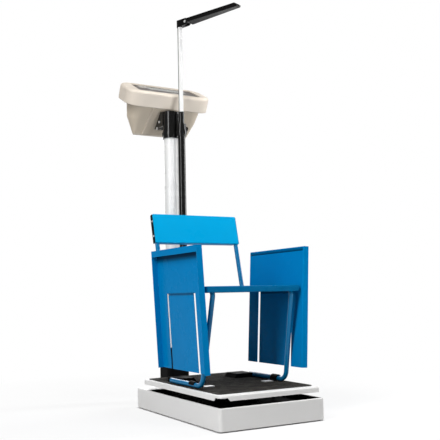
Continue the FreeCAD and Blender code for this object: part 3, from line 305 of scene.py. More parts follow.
def grime_group():
    """Painted shade along a level line, from its height, its middle and reach along Y, and its span off the middle
    plane.
    """
    tree, given = new_group("Level grime", "Color, Grime, Height, Middle, Reach, Inner, Outer, Width, Amount", "Color")
    place = parts_of(tree, own_coordinates(tree))
    off = math_node(tree, "ABSOLUTE", math_node(tree, "SUBTRACT", place["Z"], given["Height"]))
    along = math_node(tree, "ABSOLUTE", math_node(tree, "SUBTRACT", place["Y"], given["Middle"]))
    across = math_node(tree, "ABSOLUTE", place["X"])
    share = product(tree, spread(tree, off, given["Width"], 0.0),
                    math_node(tree, "LESS_THAN", along, given["Reach"]),
                    math_node(tree, "GREATER_THAN", across, given["Inner"]),
                    math_node(tree, "LESS_THAN", across, given["Outer"]), given["Amount"], clamp=True)
    return closed(tree, Color=blended(tree, share, given["Color"], given["Grime"]))


def reach_group():
    """Colour that changes with the distance from an upright axis."""
    tree, given = new_group("Reach fade", "Color, Far, Axis X, Axis Y, Start, End", "Color")
    place = parts_of(tree, own_coordinates(tree))
    squares = [math_node(tree, "POWER", math_node(tree, "SUBTRACT", place[axis], given["Axis " + axis]), 2.0)
               for axis in "XY"]
    away = math_node(tree, "SQRT", math_node(tree, "ADD", *squares))
    share = spread(tree, away, given["Start"], given["End"])
    return closed(tree, Color=blended(tree, share, given["Color"], given["Far"]))


def streak_group():
    """Fine turned or drawn marks on bare metal."""
    tree, given = new_group("Drawn streaks", "Fine, Smooth, Dull", "Height, Roughness")
    stretch = join(tree, "ShaderNodeMapping", {"Vector": own_coordinates(tree), "Scale": (1.0, 1.0, 14.0)})
    marks = noise(tree, stretch.outputs["Vector"], given["Fine"], detail=3.0, rough=0.6)
    return closed(tree, Height=marks, Roughness=gloss_drift(tree, marks, given))


# Finishes

GROUP_MAKERS = {"skin": skin_group, "tone": tone_group, "dust": dust_group, "edge": edge_group,
                "grain": grain_group, "reach": reach_group, "grime": grime_group, "streak": streak_group}
COAT_DUST, PLASTIC_DUST = (0.42, 0.41, 0.39), (0.5, 0.47, 0.42)
BARE_STEEL, WORN_WHITE = (0.33, 0.34, 0.35), (0.5, 0.5, 0.49)
# Share of a coat's colour that its painted shade darkens to
SHADE_SHARE = 0.22
DUST_DULLS = 0.3
COAT_PEEL, METAL_STREAKS, WINDOW_PEEL = 620.0, 700.0, 60.0
# Width of the chips on coats, and of the painted highlight along moulded edges
CHIP_WIDTH, HIGHLIGHT_WIDTH = 1.1 * MM, 2.2 * MM
SKIN_DEPTH, STREAK_DEPTH = 0.2 * MM, 0.1 * MM


def rgba(value):
    return (value[0], value[1], value[2], 1.0)


def shade(value, share):
    """A colour scaled towards black or, above one, towards white."""
    return rgba([min(1.0, channel * share) for channel in value])


class Finisher:
    """Builds the materials, with each effect's group made once."""

    def __init__(self):
        self.groups = {name: maker() for name, maker in GROUP_MAKERS.items()}

    def start(self, name, **sockets):
        """A material with a Principled shader; sockets are plain values on it."""
        material = bpy.data.materials.new(name)
        material.use_nodes = True
        tree = material.node_tree
        shader = next(n for n in tree.nodes if n.type == "BSDF_PRINCIPLED")
        for key, value in sockets.items():
            shader.inputs[key.replace("_", " ")].default_value = value
        return material, tree, shader

    def effect(self, tree, name, **inputs):
        return join(tree, "ShaderNodeGroup", inputs, node_tree=self.groups[name]).outputs

    def tone(self, tree, tint, second, size, amount):
        """A drifting colour; the second one is given as itself or as a share of the first."""
        second = shade(tint, second) if isinstance(second, float) else rgba(second)
        return self.effect(tree, "tone", Color=rgba(tint), Second=second, Size=size, Amount=amount)

    def wire(self, tree, shader, base, roughness, height=None, strength=0.0, depth=SKIN_DEPTH):
        """Links the effects to the shader."""
        tree.links.new(base, shader.inputs["Base Color"])
        tree.links.new(roughness, shader.inputs["Roughness"])
        if height is not None:
            bump = join(tree, "ShaderNodeBump", {"Height": height, "Strength": strength, "Distance": depth})
            tree.links.new(bump.outputs["Normal"], shader.inputs["Normal"])

    def enamel(self, name, tint, second, gloss, bare=BARE_STEEL, dust=0.25, chips=0.35, grime=(), shine=0.5):
        """Sprayed or baked coat on sheet and tube."""
        material, tree, shader = self.start(name, Specular_IOR_Level=shine)
        skin = self.effect(tree, "skin", Peel=COAT_PEEL, Smooth=gloss[0], Dull=gloss[1])
        tone = self.tone(tree, tint, second, size=7.0, amount=0.55)
        # Painted shade: each level line darkens the coat, as in the panels' crease and under their lip
        for line in grime:
            tone = self.effect(tree, "grime", Color=tone["Color"], Grime=shade(tint, SHADE_SHARE), **line)
        edge = self.effect(tree, "edge", Color=tone["Color"], Bare=rgba(bare), Width=CHIP_WIDTH, Amount=chips)
        dusty = self.effect(tree, "dust", Color=edge["Color"], Dust=rgba(COAT_DUST), Amount=dust)
        rough = math_node(tree, "ADD", skin["Roughness"], product(tree, dusty["Mask"], DUST_DULLS))
        self.wire(tree, shader, dusty["Color"], rough, skin["Height"], strength=0.12)
        return material

    def moulded(self, name, tint, second, gloss, grain=1100.0, relief=0.12, dust=0.2, drift=(9.0, 0.6), rub=None,
                reach=None, shine=0.5):
        """Injection-moulded plastic; the edge colour, where one is given, is a painted highlight along its edges."""
        material, tree, shader = self.start(name, Specular_IOR_Level=shine)
        skin = self.effect(tree, "grain", Grain=grain, Smooth=gloss[0], Dull=gloss[1])
        tone = self.tone(tree, tint, second, *drift)
        if reach is not None:
            tone = self.effect(tree, "reach", Color=tone["Color"], **reach)
        # Painted highlight: a lighter colour laid along every sharp edge, such as the housing's ribs
        if rub is not None:
            tone = self.effect(tree, "edge", Color=tone["Color"], Bare=rgba(rub), Width=HIGHLIGHT_WIDTH, Cover=1.0,
                               Amount=0.9)
        dusty = self.effect(tree, "dust", Color=tone["Color"], Dust=rgba(PLASTIC_DUST), Amount=dust)
        self.wire(tree, shader, dusty["Color"], skin["Roughness"], skin["Height"], relief)
        return material

    def metal(self, name, tint, second, gloss, metallic=1.0):
        """Plated or machined metal."""
        material, tree, shader = self.start(name, Metallic=metallic)
        marks = self.effect(tree, "streak", Fine=METAL_STREAKS, Smooth=gloss[0], Dull=gloss[1])
        tone = self.tone(tree, tint, second, size=40.0, amount=0.7)
        self.wire(tree, shader, tone["Color"], marks["Roughness"], marks["Height"], strength=0.06,
                  depth=STREAK_DEPTH)
        return material

    def window(self, name, tint):
        """Clear acrylic, a little hazy."""
        material, tree, shader = self.start(name, Transmission_Weight=0.92, IOR=1.49)
        haze = self.effect(tree, "skin", Peel=WINDOW_PEEL, Smooth=0.04, Dull=0.10)
        tone = self.tone(tree, tint, 0.9, size=20.0, amount=0.5)
        self.wire(tree, shader, tone["Color"], haze["Roughness"])
        return material


def panel_grime():
    """Painted shade on the side panels: darkening in the crease between the slots and under the lip."""
    low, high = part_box("side_panel_left")
    along = (low.y + high.y) / 2
    foot = -high.x
    crease_rise, crease_reach, crease_width = 187 * MM, 75 * MM, 5 * MM
    lip_drop, lip_inner, lip_outer, lip_width, lip_end = 15.7 * MM, 16.1 * MM, 24 * MM, 17 * MM, 2 * MM
    crease = {"Height": low.z + crease_rise, "Middle": along, "Reach": crease_reach, "Inner": 0.0, "Outer": 1.0,
              "Width": crease_width, "Amount": 0.9}
    lip = {"Height": high.z - lip_drop, "Middle": along, "Reach": (high.y - low.y) / 2 - lip_end,
           "Inner": foot + lip_inner, "Outer": foot + lip_outer, "Width": lip_width, "Amount": 1.6}
    return crease, lip


def arm_fade():
    """Painted sheen on the arm's contact face: it pales from black towards its tip."""
    rod = middle("height_rod")
    return {"Far": rgba((0.2, 0.2, 0.195)), "Axis X": rod.x, "Axis Y": rod.y, "Start": 60 * MM, "End": 230 * MM}


def make_finishes(look):
    """Every finish by its name: its label, its colour, the one it drifts to and its gloss come first."""
    kit = Finisher()
    print_and_shade_coat = {"grain": 2500.0, "relief": 0.03, "dust": 0.0}
    return {
        "white": kit.enamel("White powder coat", look.white, 0.94, (0.34, 0.46), WORN_WHITE, dust=0.12, chips=0.25),
        "column_white": kit.enamel("White gloss enamel", look.column_white, 0.99, (0.22, 0.32), WORN_WHITE, dust=0.0,
                                   chips=0.1),
        "rod_white": kit.enamel("Rod enamel", look.rod_white, 0.97, (0.3, 0.4), (0.4, 0.4, 0.4), dust=0.0, chips=0.1,
                                shine=0.15),
        # One blue paint on the whole chair: lighter on the backrest as painted light, darker on the seat and the tubes
        # as painted shade
        "bright_blue": kit.enamel("Bright blue enamel", look.bright_blue, 0.93, (0.26, 0.36), dust=0.03, shine=0.05),
        "blue": kit.enamel("Blue enamel", look.blue, 0.9, (0.2, 0.3), dust=0.015, grime=panel_grime(), shine=0.02),
        "seat_blue": kit.enamel("Deep blue enamel", look.seat_blue, 0.9, (0.2, 0.3), dust=0.03, shine=0.06),
        "tube_blue": kit.enamel("Tube blue enamel", look.tube_blue, 0.88, (0.16, 0.24), dust=0.02, chips=0.2,
                                shine=0.3),
        "black": kit.enamel("Black enamel", look.black, 1.8, (0.12, 0.2), (0.2, 0.2, 0.2), dust=0.0, chips=0.1),
        "moulding": kit.moulded("Black moulding", look.moulding, 1.7, (0.42, 0.56), dust=0.0, shine=0.015),
        "arm_moulding": kit.moulded("Glossy black moulding", look.black, 1.5, (0.22, 0.3), dust=0.0, shine=0.15),
        # The housing's darker copy of this plastic is painted shade under the rim
        "case": kit.moulded("Head plastic", look.case, 0.95, (0.38, 0.5), dust=0.0),
        # Painted highlight along the edges of the housing's ribs
        "shell": kit.moulded("Housing plastic", look.shell, 0.94, (0.42, 0.55), dust=0.0, rub=(0.86, 0.78, 0.70)),
        "film": kit.moulded("Display film", look.film, 0.9, (0.3, 0.42), grain=2600.0, relief=0.05, dust=0.0,
                            shine=0.2),
        "glass": kit.window("Display window", look.glass),
        "rubber": kit.moulded("Mat rubber", look.rubber, (0.05, 0.046, 0.039), (0.6, 0.75), grain=1700.0, relief=0.3,
                              dust=0.03, drift=(38.0, 0.85), shine=0.07),
        "pad": kit.moulded("Foot rubber", (0.02, 0.02, 0.02), (0.03, 0.03, 0.028), (0.6, 0.75)),
        "steel": kit.metal("Bright steel", look.steel, 0.85, (0.3, 0.42), metallic=0.55),
        # Near-black steel and cell alloy inside the base: painted shade in the gap under the platform
        "interior_shade_steel": kit.metal("Blackened steel", (0.03, 0.03, 0.032), (0.02, 0.02, 0.02), (0.35, 0.5)),
        "alloy": kit.metal("Cell alloy", (0.05, 0.05, 0.052), (0.035, 0.035, 0.036), (0.35, 0.5)),
        "board": kit.moulded("Circuit board", (0.01, 0.12, 0.05), (0.01, 0.09, 0.04), (0.25, 0.4)),
        # Painted sheen: the contact face pales towards the arm's tip
        "arm_face": kit.moulded("Grey contact face", (0.006, 0.006, 0.006), (0.009, 0.009, 0.009), (0.5, 0.6),
                                dust=0.0, reach=arm_fade(), shine=0.1),
        # Near-black coat on the parts inside the base: painted shade in the gap under the platform
        "interior_shade_black": kit.moulded("Matt black coat", (0.004, 0.004, 0.004), (0.007, 0.007, 0.007), (0.6, 0.75),
                                  dust=0.0, shine=0.05),
        "lcd": kit.moulded("Display cell", (0.33, 0.36, 0.32), (0.29, 0.32, 0.28), (0.2, 0.3), grain=3000.0,
                           relief=0.02, dust=0.0),
        "key_light": kit.moulded("Pale key", (0.42, 0.40, 0.37), (0.38, 0.36, 0.33), (0.35, 0.5)),
        "key_dark": kit.moulded("Grey key", (0.20, 0.19, 0.18), (0.17, 0.16, 0.15), (0.35, 0.5)),
        "wrap": kit.moulded("Battery wrap", (0.02, 0.05, 0.18), (0.02, 0.04, 0.14), (0.2, 0.3)),
        "ink": kit.moulded("Black ink", (0.01, 0.01, 0.011), (0.016, 0.016, 0.017), (0.4, 0.5), **print_and_shade_coat),
        "painted_rod_shade": kit.moulded("Grey ink", (0.20, 0.205, 0.195), (0.17, 0.175, 0.165), (0.4, 0.5), shine=0.1,
                                **print_and_shade_coat),
        "pale_ink": kit.moulded("Pale ink", (0.55, 0.54, 0.51), (0.5, 0.49, 0.46), (0.4, 0.5), **print_and_shade_coat),
    }


FINISHES = {}
SLOT_FINISH = {"white_paint": "white", "blue_paint": "tube_blue", "panel_paint": "blue", "black_paint": "black",
               "black_plastic": "moulding", "head_plastic": "case", "display_face": "film", "window": "glass",
               "mat_rubber": "rubber", "bright_steel": "steel", "cell_alloy": "alloy", "board": "board", "lcd": "lcd",
               "key_light": "key_light", "key_dark": "key_dark", "battery_wrap": "wrap", "foot_rubber": "pad"}
FINISH_NODES = {"column_white": ("column_tube",), "rod_white": ("height_rod",), "bright_blue": ("backrest_panel",),
                "seat_blue": ("seat_pan", "seat_cross_bars"), "blue": ("panel_spacers",),
                "arm_moulding": ("measuring_arm", "arm_knuckle"), "shell": ("head_rear_shell",),
                "black": ("gauge_guide", "gauge_collar", "middle_tube", "head_bracket", "gauge_clip_lower",
                          "gauge_clip_upper"),
                # Painted shade: the parts inside the base get near-black finishes, so the gap under the platform reads
                # dark
                "interior_shade_black": ("inner_deck", "platform_spider", "base_frame"),
                "interior_shade_steel": ("deck_pillars", "overload_stops", "cell_lower_spacer", "cell_upper_spacer",
                               "load_cell_bolts")}
NODE_FINISH = {node: finish for finish, nodes in FINISH_NODES.items() for node in nodes}


# Mesh making

SHARP_FROM = math.radians(38)


def new_piece(name, mesh_code, finish, body):
    """Turns mesh code into a piece that rides on a body."""
    code = bmesh.new()
    mesh_code(code)
    bmesh.ops.recalc_face_normals(code, faces=code.faces)
    mesh = bpy.data.meshes.new(name)
    code.to_mesh(mesh)
    code.free()
    mesh.materials.append(FINISHES[finish])
    mesh.shade_smooth()
    mesh.set_sharp_from_angle(angle=SHARP_FROM)
    piece = bpy.data.objects.new(name, mesh)
    bpy.context.scene.collection.objects.link(piece)
    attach(piece, body)
    return piece


def ring_of(code, points):
    return [code.verts.new(p) for p in points]


def bridge(code, low, high):
    """Quads between two rings of vertices of the same count, or a fan to a single vertex."""
    count = max(len(low), len(high))
    for k in range(count):
        after = (k + 1) % count
        corners = [low[k % len(low)], low[after % len(low)], high[after % len(high)], high[k % len(high)]]
        code.faces.new(list(dict.fromkeys(corners)))


def loft(code, rows):
    """A closed skin through rows of points; an end row of one point is a tip, any other gets a flat cap."""
    rings = [ring_of(code, row) for row in rows]
    for low, high in zip(rings, rings[1:]):
        bridge(code, low, high)
    for ring in (rings[0], rings[-1]):
        if len(ring) > 1:
            code.faces.new(ring)


def circle(radius, count):
    """Points round a circle."""
    turns = [2 * math.pi * k / count for k in range(count)]
    return [(radius * math.cos(turn), radius * math.sin(turn)) for turn in turns]


def placed(place, outline, z):
    """The points of an outline at a height in a frame."""
    return [place @ Vector((x, y, z)) for x, y in outline]


def rivet(code, place, radius):
    """A dome rivet with a thin skirt."""
    height, skirt, sink = radius * 0.55, radius * 1.04, radius * 0.1
    rim, foot, arcs, steps = height * 0.15, 0.22, 5, 24
    dome = [(radius * math.cos(t), height * (foot + (1 - foot) * math.sin(t)))
            for t in [math.pi / 2 * k / arcs for k in range(arcs)]]
    rows = [placed(place, circle(r, steps), z) for r, z in [(skirt, -sink), (skirt, rim)] + dome]
    loft(code, rows + [placed(place, [(0, 0)], height)])


def cross_screw(code, place, radius):
    """A pan head with a cross recess."""
    height, steps = radius * 0.7, 16
    floor = height * 0.45
    head = [(1.0, -0.1 * radius), (1.0, 0.5 * height), (0.9, 0.82 * height), (0.7, height), (0.5, height)]
    rows = [placed(place, circle(radius * share, steps), z) for share, z in head]
    for share, arms in ((0.46, 4), (0.2, 1)):
        rows.append([place @ Vector((x, y, height if k % arms else floor))
                     for k, (x, y) in enumerate(circle(radius * share, steps))])
    loft(code, rows + [placed(place, [(0, 0)], floor)])


def weld_bead(code, start, end, radius):
    """A rippled bead laid along a straight seam, with rounded ends."""
    ripple, wave, sides, pitch, fewest, blunt = 0.18, 3.2, 8, 0.45, 8, 6
    run = end - start
    steps = max(fewest, int(run.length / (radius * pitch)))
    place = facing(start, run.normalized())
    rows = [[start]]
    for k in range(1, steps):
        share = k / steps
        taper = math.sqrt(max(0.0, 1 - abs(2 * share - 1) ** blunt))
        swell = radius * taper * (1 + ripple * math.sin(2 * math.pi * k / wave))
        rows.append(placed(place, circle(swell, sides), run.length * share))
    loft(code, rows + [[end]])


def rounded_outline(half_x, half_y, radius, steps=8):
    """Points round a rectangle with rounded corners."""
    points = []
    for corner, (sx, sy) in enumerate(((1, 1), (-1, 1), (-1, -1), (1, -1))):
        for k in range(steps + 1):
            turn = math.pi / 2 * (corner + k / steps)
            points.append((sx * (half_x - radius) + radius * math.cos(turn),
                           sy * (half_y - radius) + radius * math.sin(turn)))
    return points


def printed(code, place, outline, depth, hole=None):
    """A thin printed patch on a plane, as a closed slip, with an optional hole of the same point count."""
    rows = [placed(place, outline, z) for z in (-depth, depth)]
    if hole is None:
        loft(code, rows)
        return
    rings = [ring_of(code, row) for row in rows + [placed(place, hole, z) for z in (depth, -depth)]]
    for low, high in zip(rings, rings[1:] + rings[:1]):
        bridge(code, low, high)


def chamfered_plate(code, place, outline_of, thickness, bevel):
    """A plate with a chamfered upper edge; outline_of gives the outline at an inset."""
    levels = ((0, 0), (0, thickness - bevel), (bevel, thickness))
    loft(code, [placed(place, outline_of(inset), z) for inset, z in levels])


class FinishSolids(bpy.types.Operator):
    """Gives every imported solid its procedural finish"""
    bl_idname = "column_scale.finish"
    bl_label = "Finish the solids"

    def execute(self, context):
        FINISHES.update(make_finishes(context.scene.scale_finishes))
        for name, node in frame["nodes"].items():
            slot = node.data.materials[0].name
            finish = NODE_FINISH.get(name) or SLOT_FINISH[slot]
            node.data.materials[0] = FINISHES[finish]
        return {"FINISHED"}


class RibbedMat(bpy.types.Operator):
    """Lays the ribbed rubber mat on the platform"""
    bl_idname = "column_scale.mat"
    bl_label = "Ribbed mat"

    def execute(self, context):
        sizes = context.scene.scale_fittings
        low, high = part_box("platform_mat")
        half_x, half_y, _ = half_size(low, high)
        centre = middle("platform_mat")
        corner, border, chamfer = sizes.mat_corner, sizes.mat_border, 0.5 * MM
        floor = high.z - sizes.rib_depth

        def mesh_code(code):
            profile = [(0, low.z), (0, high.z - chamfer), (chamfer, high.z), (border, high.z),
                       (border + chamfer, floor)]
            loft(code, [[(centre.x + x, centre.y + y, z) for x, y in
                         rounded_outline(half_x - inset, half_y - inset, corner - inset)] for inset, z in profile])
            lay_ribs(code)

        def lay_ribs(code):
            pitch = sizes.rib_pitch
            width = pitch * 0.62
            shoulder = high.z - 0.25 * sizes.rib_depth
            inner_x, inner_y, inner_radius = half_x - border, half_y - border, corner - border
            count = int((2 * inner_y - width) / pitch)
            section = [(-0.5, floor - chamfer), (-0.42, shoulder), (-0.2, high.z), (0.2, high.z), (0.42, shoulder),
                       (0.5, floor - chamfer)]
            for k in range(count + 1):
                y = (k - count / 2) * pitch
                into = max(0.0, abs(y) + width / 2 - (inner_y - inner_radius))
                reach = inner_x - inner_radius + math.sqrt(max(0.0, inner_radius ** 2 - into ** 2))
                loft(code, [[(centre.x + side * reach, centre.y + y + share * width, z) for share, z in section]
                            for side in SIDES])

        piece = new_piece("ribbed_mat", mesh_code, "rubber", "platform")
        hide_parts("platform_mat")
        return {"FINISHED"}


class CornerGuards(bpy.types.Operator):
    """Closes the notches in the skirt of the tray, except at the front left corner"""
    bl_idname = "column_scale.guards"
    bl_label = "Corner guards"

    def execute(self, context):
        low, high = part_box("platform_tray")
        half_x, half_y, _ = half_size(low, high)
        centre = middle("platform_tray")
        corner, sheet, proud, steps = 11 * MM, 1.5 * MM, 0.05 * MM, 8
        wide, narrow, height = 27.5 * MM, 21.5 * MM, 7 * MM
        edges = ((wide, -proud, low.z), (narrow, -proud, low.z + height), (narrow, sheet, low.z + height),
                 (wide, sheet, low.z))

        def path(side_x, side_y, reach, inset, z):
            """Points round one corner of the skirt, from its end face to its side face."""
            radius = corner - inset
            arc = [(half_x - corner + radius * math.sin(a), half_y - corner + radius * math.cos(a))
                   for a in [math.pi / 2 * k / steps for k in range(steps + 1)]]
            points = [(half_x - reach, half_y - inset)] + arc + [(half_x - inset, half_y - reach)]
            return [(centre.x + side_x * x, centre.y + side_y * y, z) for x, y in points]

        def mesh_code(code):
            for side_x, side_y in ((1, -1), (-1, 1), (1, 1)):
                loft(code, zip(*[path(side_x, side_y, *edge) for edge in edges]))

        new_piece("corner_guards", mesh_code, "white", "platform")
        return {"FINISHED"}


class Fasteners(bpy.types.Operator):
    """Sets the backrest's trims, the rivets, the screws and the ends of the hooks"""
    bl_idname = "column_scale.fasteners"
    bl_label = "Rivets and screws"

    def execute(self, context):
        sizes = context.scene.scale_fittings
        hook_setback = 12 * MM
        hook_y = middle("clamp_plates").y + hook_setback
        self.backrest_rivets(sizes.rivet_radius)
        self.strap_screws(sizes.screw_radius)
        self.base_screws(sizes.screw_radius)
        self.hook_screws(hook_y, sizes.screw_radius)
        self.hook_ends(hook_y)
        return {"FINISHED"}

    def backrest_rivets(self, radius):
        """End trims of the backrest with two rivets each."""
        low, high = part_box("backrest_panel")
        tilt = math.radians(13.7)
        flange, height = 15 * MM, 82.5 * MM
        margin, corner, thickness = 1 * MM, 2.5 * MM, 0.8 * MM
        rivet_shift, rivet_rise = 2 * MM, 21 * MM
        up = Vector((0, math.sin(tilt), math.cos(tilt)))
        back = Vector((0, math.cos(tilt), -math.sin(tilt)))
        front_foot = Vector((0, low.y, low.z + flange * math.sin(tilt)))

        def end_frame(side):
            """Frame on the flange at one end, with Z outwards."""
            turn = Matrix((side * back, up, Vector((side, 0, 0)))).transposed().to_4x4()
            centre = front_foot + back * flange / 2 + up * height / 2
            return Matrix.Translation((side * high.x, centre.y, centre.z)) @ turn

        def outline_of(inset):
            return rounded_outline(flange / 2 - margin - inset, height / 2 - margin - inset, corner - inset, 4)

        def trims(code):
            for side in SIDES:
                chamfered_plate(code, end_frame(side), outline_of, thickness, thickness / 3)

        def rivets(code):
            for side in SIDES:
                for rise in (-rivet_rise, rivet_rise):
                    seat = Matrix.Translation((-side * rivet_shift, rise, thickness))
                    rivet(code, end_frame(side) @ seat, radius)

        new_piece("backrest_trims", trims, "moulding", "platform")
        new_piece("backrest_rivets", rivets, "steel", "platform")

    def strap_screws(self, radius):
        """One screw on each side of each strap between the column and the gauge."""
        link = gauge_link()
        aside = link.cross(UP).normalized()
        half_width, small = 5 * MM, 0.8
        for strap, along in {"gauge_clip_lower": 0.62, "gauge_clip_upper": 0.64}.items():
            def mesh_code(code):
                for side in SIDES:
                    seat = middle("column_tube") + link * along + aside * side * half_width
                    seat.z = middle(strap).z
                    cross_screw(code, facing(seat, aside * side), radius * small)
            new_piece(strap + "_screws", mesh_code, "steel", "base")

    def base_screws(self, radius):
        """Screws round the edge of the base, from below."""
        low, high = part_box("base_shell")
        centre, half_y = middle("base_shell"), half_size(low, high)[1]
        inset = 8 * MM
        shares = [(x, y) for x in SIDES for y in (-0.6, 0, 0.6)] + [(x, y) for y in SIDES for x in (-0.4, 0.4)]

        def mesh_code(code):
            for x, y in shares:
                seat = Vector((x * (high.x - inset), centre.y + y * (half_y - inset), low.z))
                cross_screw(code, facing(seat, -UP), radius)

        new_piece("base_screws", mesh_code, "steel", "base")

    def hook_screws(self, hook_y, radius):
        """One screw in the wing of each front hook."""
        wing_width, wing_height = 12 * MM, 3 * MM
        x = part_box("clamp_plates")[1].x + wing_width / 2
        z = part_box("chair_clamps")[0].z + wing_height

        def mesh_code(code):
            for side in SIDES:
                cross_screw(code, facing(Vector((side * x, hook_y, z)), UP), radius)

        new_piece("hook_screws", mesh_code, "moulding", "platform")

    def hook_ends(self, hook_y):
        """The tapered end of each front hook, down the outer side of its tube."""
        low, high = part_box("chair_clamps")
        wall, past, half, steps = 3 * MM, 3 * MM, 12.9 * MM, 12
        tube_radius, gap = 6 * MM, 0.1 * MM
        inner = tube_radius + gap
        start, end = math.radians(78), math.radians(4)
        root_share, taper = 0.98, 0.5

        def row(side, share):
            """The four corners of the hook's section, at a share of the way down."""
            turn = start + (end - start) * share
            outer = inner + wall * (root_share - taper * share ** 2)
            return [(side * (high.x - past + r * math.cos(turn)), hook_y + y, low.z + inner + r * math.sin(turn))
                    for r, y in ((inner, -half), (outer, -half), (outer, half), (inner, half))]

        def mesh_code(code):
            for side in SIDES:
                loft(code, [row(side, k / steps) for k in range(steps + 1)])

        new_piece("hook_ends", mesh_code, "moulding", "platform")


class BlackPlates(bpy.types.Operator):
    """Sets the web of the head bracket and the contact face under the arm"""
    bl_idname = "column_scale.plates"
    bl_label = "Web and contact face"

    def execute(self, context):
        self.bracket_web()
        self.arm_face()
        return {"FINISHED"}

    def bracket_web(self):
        """A flat web between the sleeve and the gauge."""
        sleeve_wall, guide_gap, clip_gap, top_gap = 3 * MM, 0.5 * MM, 1 * MM, 4 * MM
        sleeve = half_size(*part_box("column_tube"))[0] + sleeve_wall
        reach = gauge_link().length - half_size(*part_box("gauge_guide"))[0] - guide_gap
        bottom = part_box("gauge_clip_upper")[1].z + clip_gap
        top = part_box("head_bracket")[1].z - top_gap
        thickness, bevel, corner = 5 * MM, 0.6 * MM, 2 * MM
        along = gauge_link().normalized()
        aside = along.cross(UP)
        turn = Matrix((along, UP, aside)).transposed().to_4x4()
        centre = middle("column_tube") + along * (sleeve + reach) / 2 - aside * thickness / 2
        centre.z = (bottom + top) / 2

        def outline_of(inset):
            return rounded_outline((reach - sleeve) / 2 - inset, (top - bottom) / 2 - inset, corner - inset, 4)

        def mesh_code(code):
            chamfered_plate(code, Matrix.Translation(centre) @ turn, outline_of, thickness, bevel)

        new_piece("bracket_web", mesh_code, "black", "base")

    def arm_face(self):
        """A thin face that closes the pockets under the measuring arm."""
        rod = middle("height_rod")
        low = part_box("measuring_arm")[0].z
        heading = math.radians(-68.6)
        root, tip, root_half, tip_half, steps = 46 * MM, 222 * MM, 12.8 * MM, 6.6 * MM, 10
        bury, thickness, bevel = 0.3 * MM, 0.5 * MM, 0.15 * MM
        turn = Matrix.Rotation(heading, 4, "Z") @ Matrix.Rotation(math.pi, 4, "X")
        place = Matrix.Translation((rod.x, rod.y, low + bury)) @ turn

        def outline_of(inset):
            tip_round = [(tip - tip_half + (tip_half - inset) * math.sin(a), (tip_half - inset) * math.cos(a))
                         for a in [math.pi * k / steps for k in range(steps + 1)]]
            return [(root + inset, root_half - inset)] + tip_round + [(root + inset, inset - root_half)]

        def mesh_code(code):
            chamfered_plate(code, place, outline_of, thickness, bevel)

        new_piece("arm_face", mesh_code, "arm_face", "measuring_arm")


class WeldBeads(bpy.types.Operator):
    """Lays the weld beads under the seat"""
    bl_idname = "column_scale.welds"
    bl_label = "Weld beads"

    def execute(self, context):
        radius = context.scene.scale_fittings.weld_radius
        low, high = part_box("seat_cross_bars")
        seat_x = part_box("seat_pan")[1].x
        bar_width = 24 * MM

        def rail_beads(code):
            for start in (low.y, high.y - bar_width):
                reach = reach_between("seat_cross_bars", start, start + bar_width)
                for side in SIDES:
                    for y in (start, start + bar_width):
                        weld_bead(code, *[Vector((side * reach, y, z))
                                          for z in (low.z + radius, high.z - 2 * radius)], radius)

        new_piece("rail_welds", rail_beads, "tube_blue", "platform")

        spacer_low, spacer_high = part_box("panel_spacers")
        spacer_half, short, small = 17 * MM, 2 * MM, 0.8

        def spacer_beads(code):
            for side in SIDES:
                for y in (spacer_low.y + spacer_half, spacer_high.y - spacer_half):
                    for z in (spacer_low.z, spacer_high.z):
                        weld_bead(code, *[Vector((side * seat_x, y + end * (spacer_half - short), z))
                                          for end in SIDES], radius * small)

        new_piece("spacer_welds", spacer_beads, "blue", "platform")
        return {"FINISHED"}


SEGMENTS = {"0": "abcdef", "1": "bc", "2": "abged", "3": "abgcd", "4": "fgbc", "5": "afgcd", "6": "afgedc",
            "7": "abc", "8": "abcdefg", "9": "abcdfg"}


def segment_outlines(figure, width, height, stroke):
    """Outlines of a seven-segment figure's lit bars, round its centre."""
    gap, h = stroke * 0.12, stroke / 2
    half_w, half_h = width / 2, height / 2
    level = {"a": half_h, "g": 0.0, "d": -half_h}
    post = {"b": (half_w, 0.0), "c": (half_w, -half_h), "f": (-half_w, 0.0), "e": (-half_w, -half_h)}
    for bar in SEGMENTS[figure]:
        if bar in level:
            x0, x1, y = -half_w + gap, half_w - gap, level[bar]
            yield [(x0, y), (x0 + h, y - h), (x1 - h, y - h), (x1, y), (x1 - h, y + h), (x0 + h, y + h)]
        else:
            x, low = post[bar]
            y0, y1 = low + gap, low + half_h - gap
            yield [(x, y0), (x + h, y0 + h), (x + h, y1 - h), (x, y1), (x - h, y1 - h), (x - h, y0 + h)]


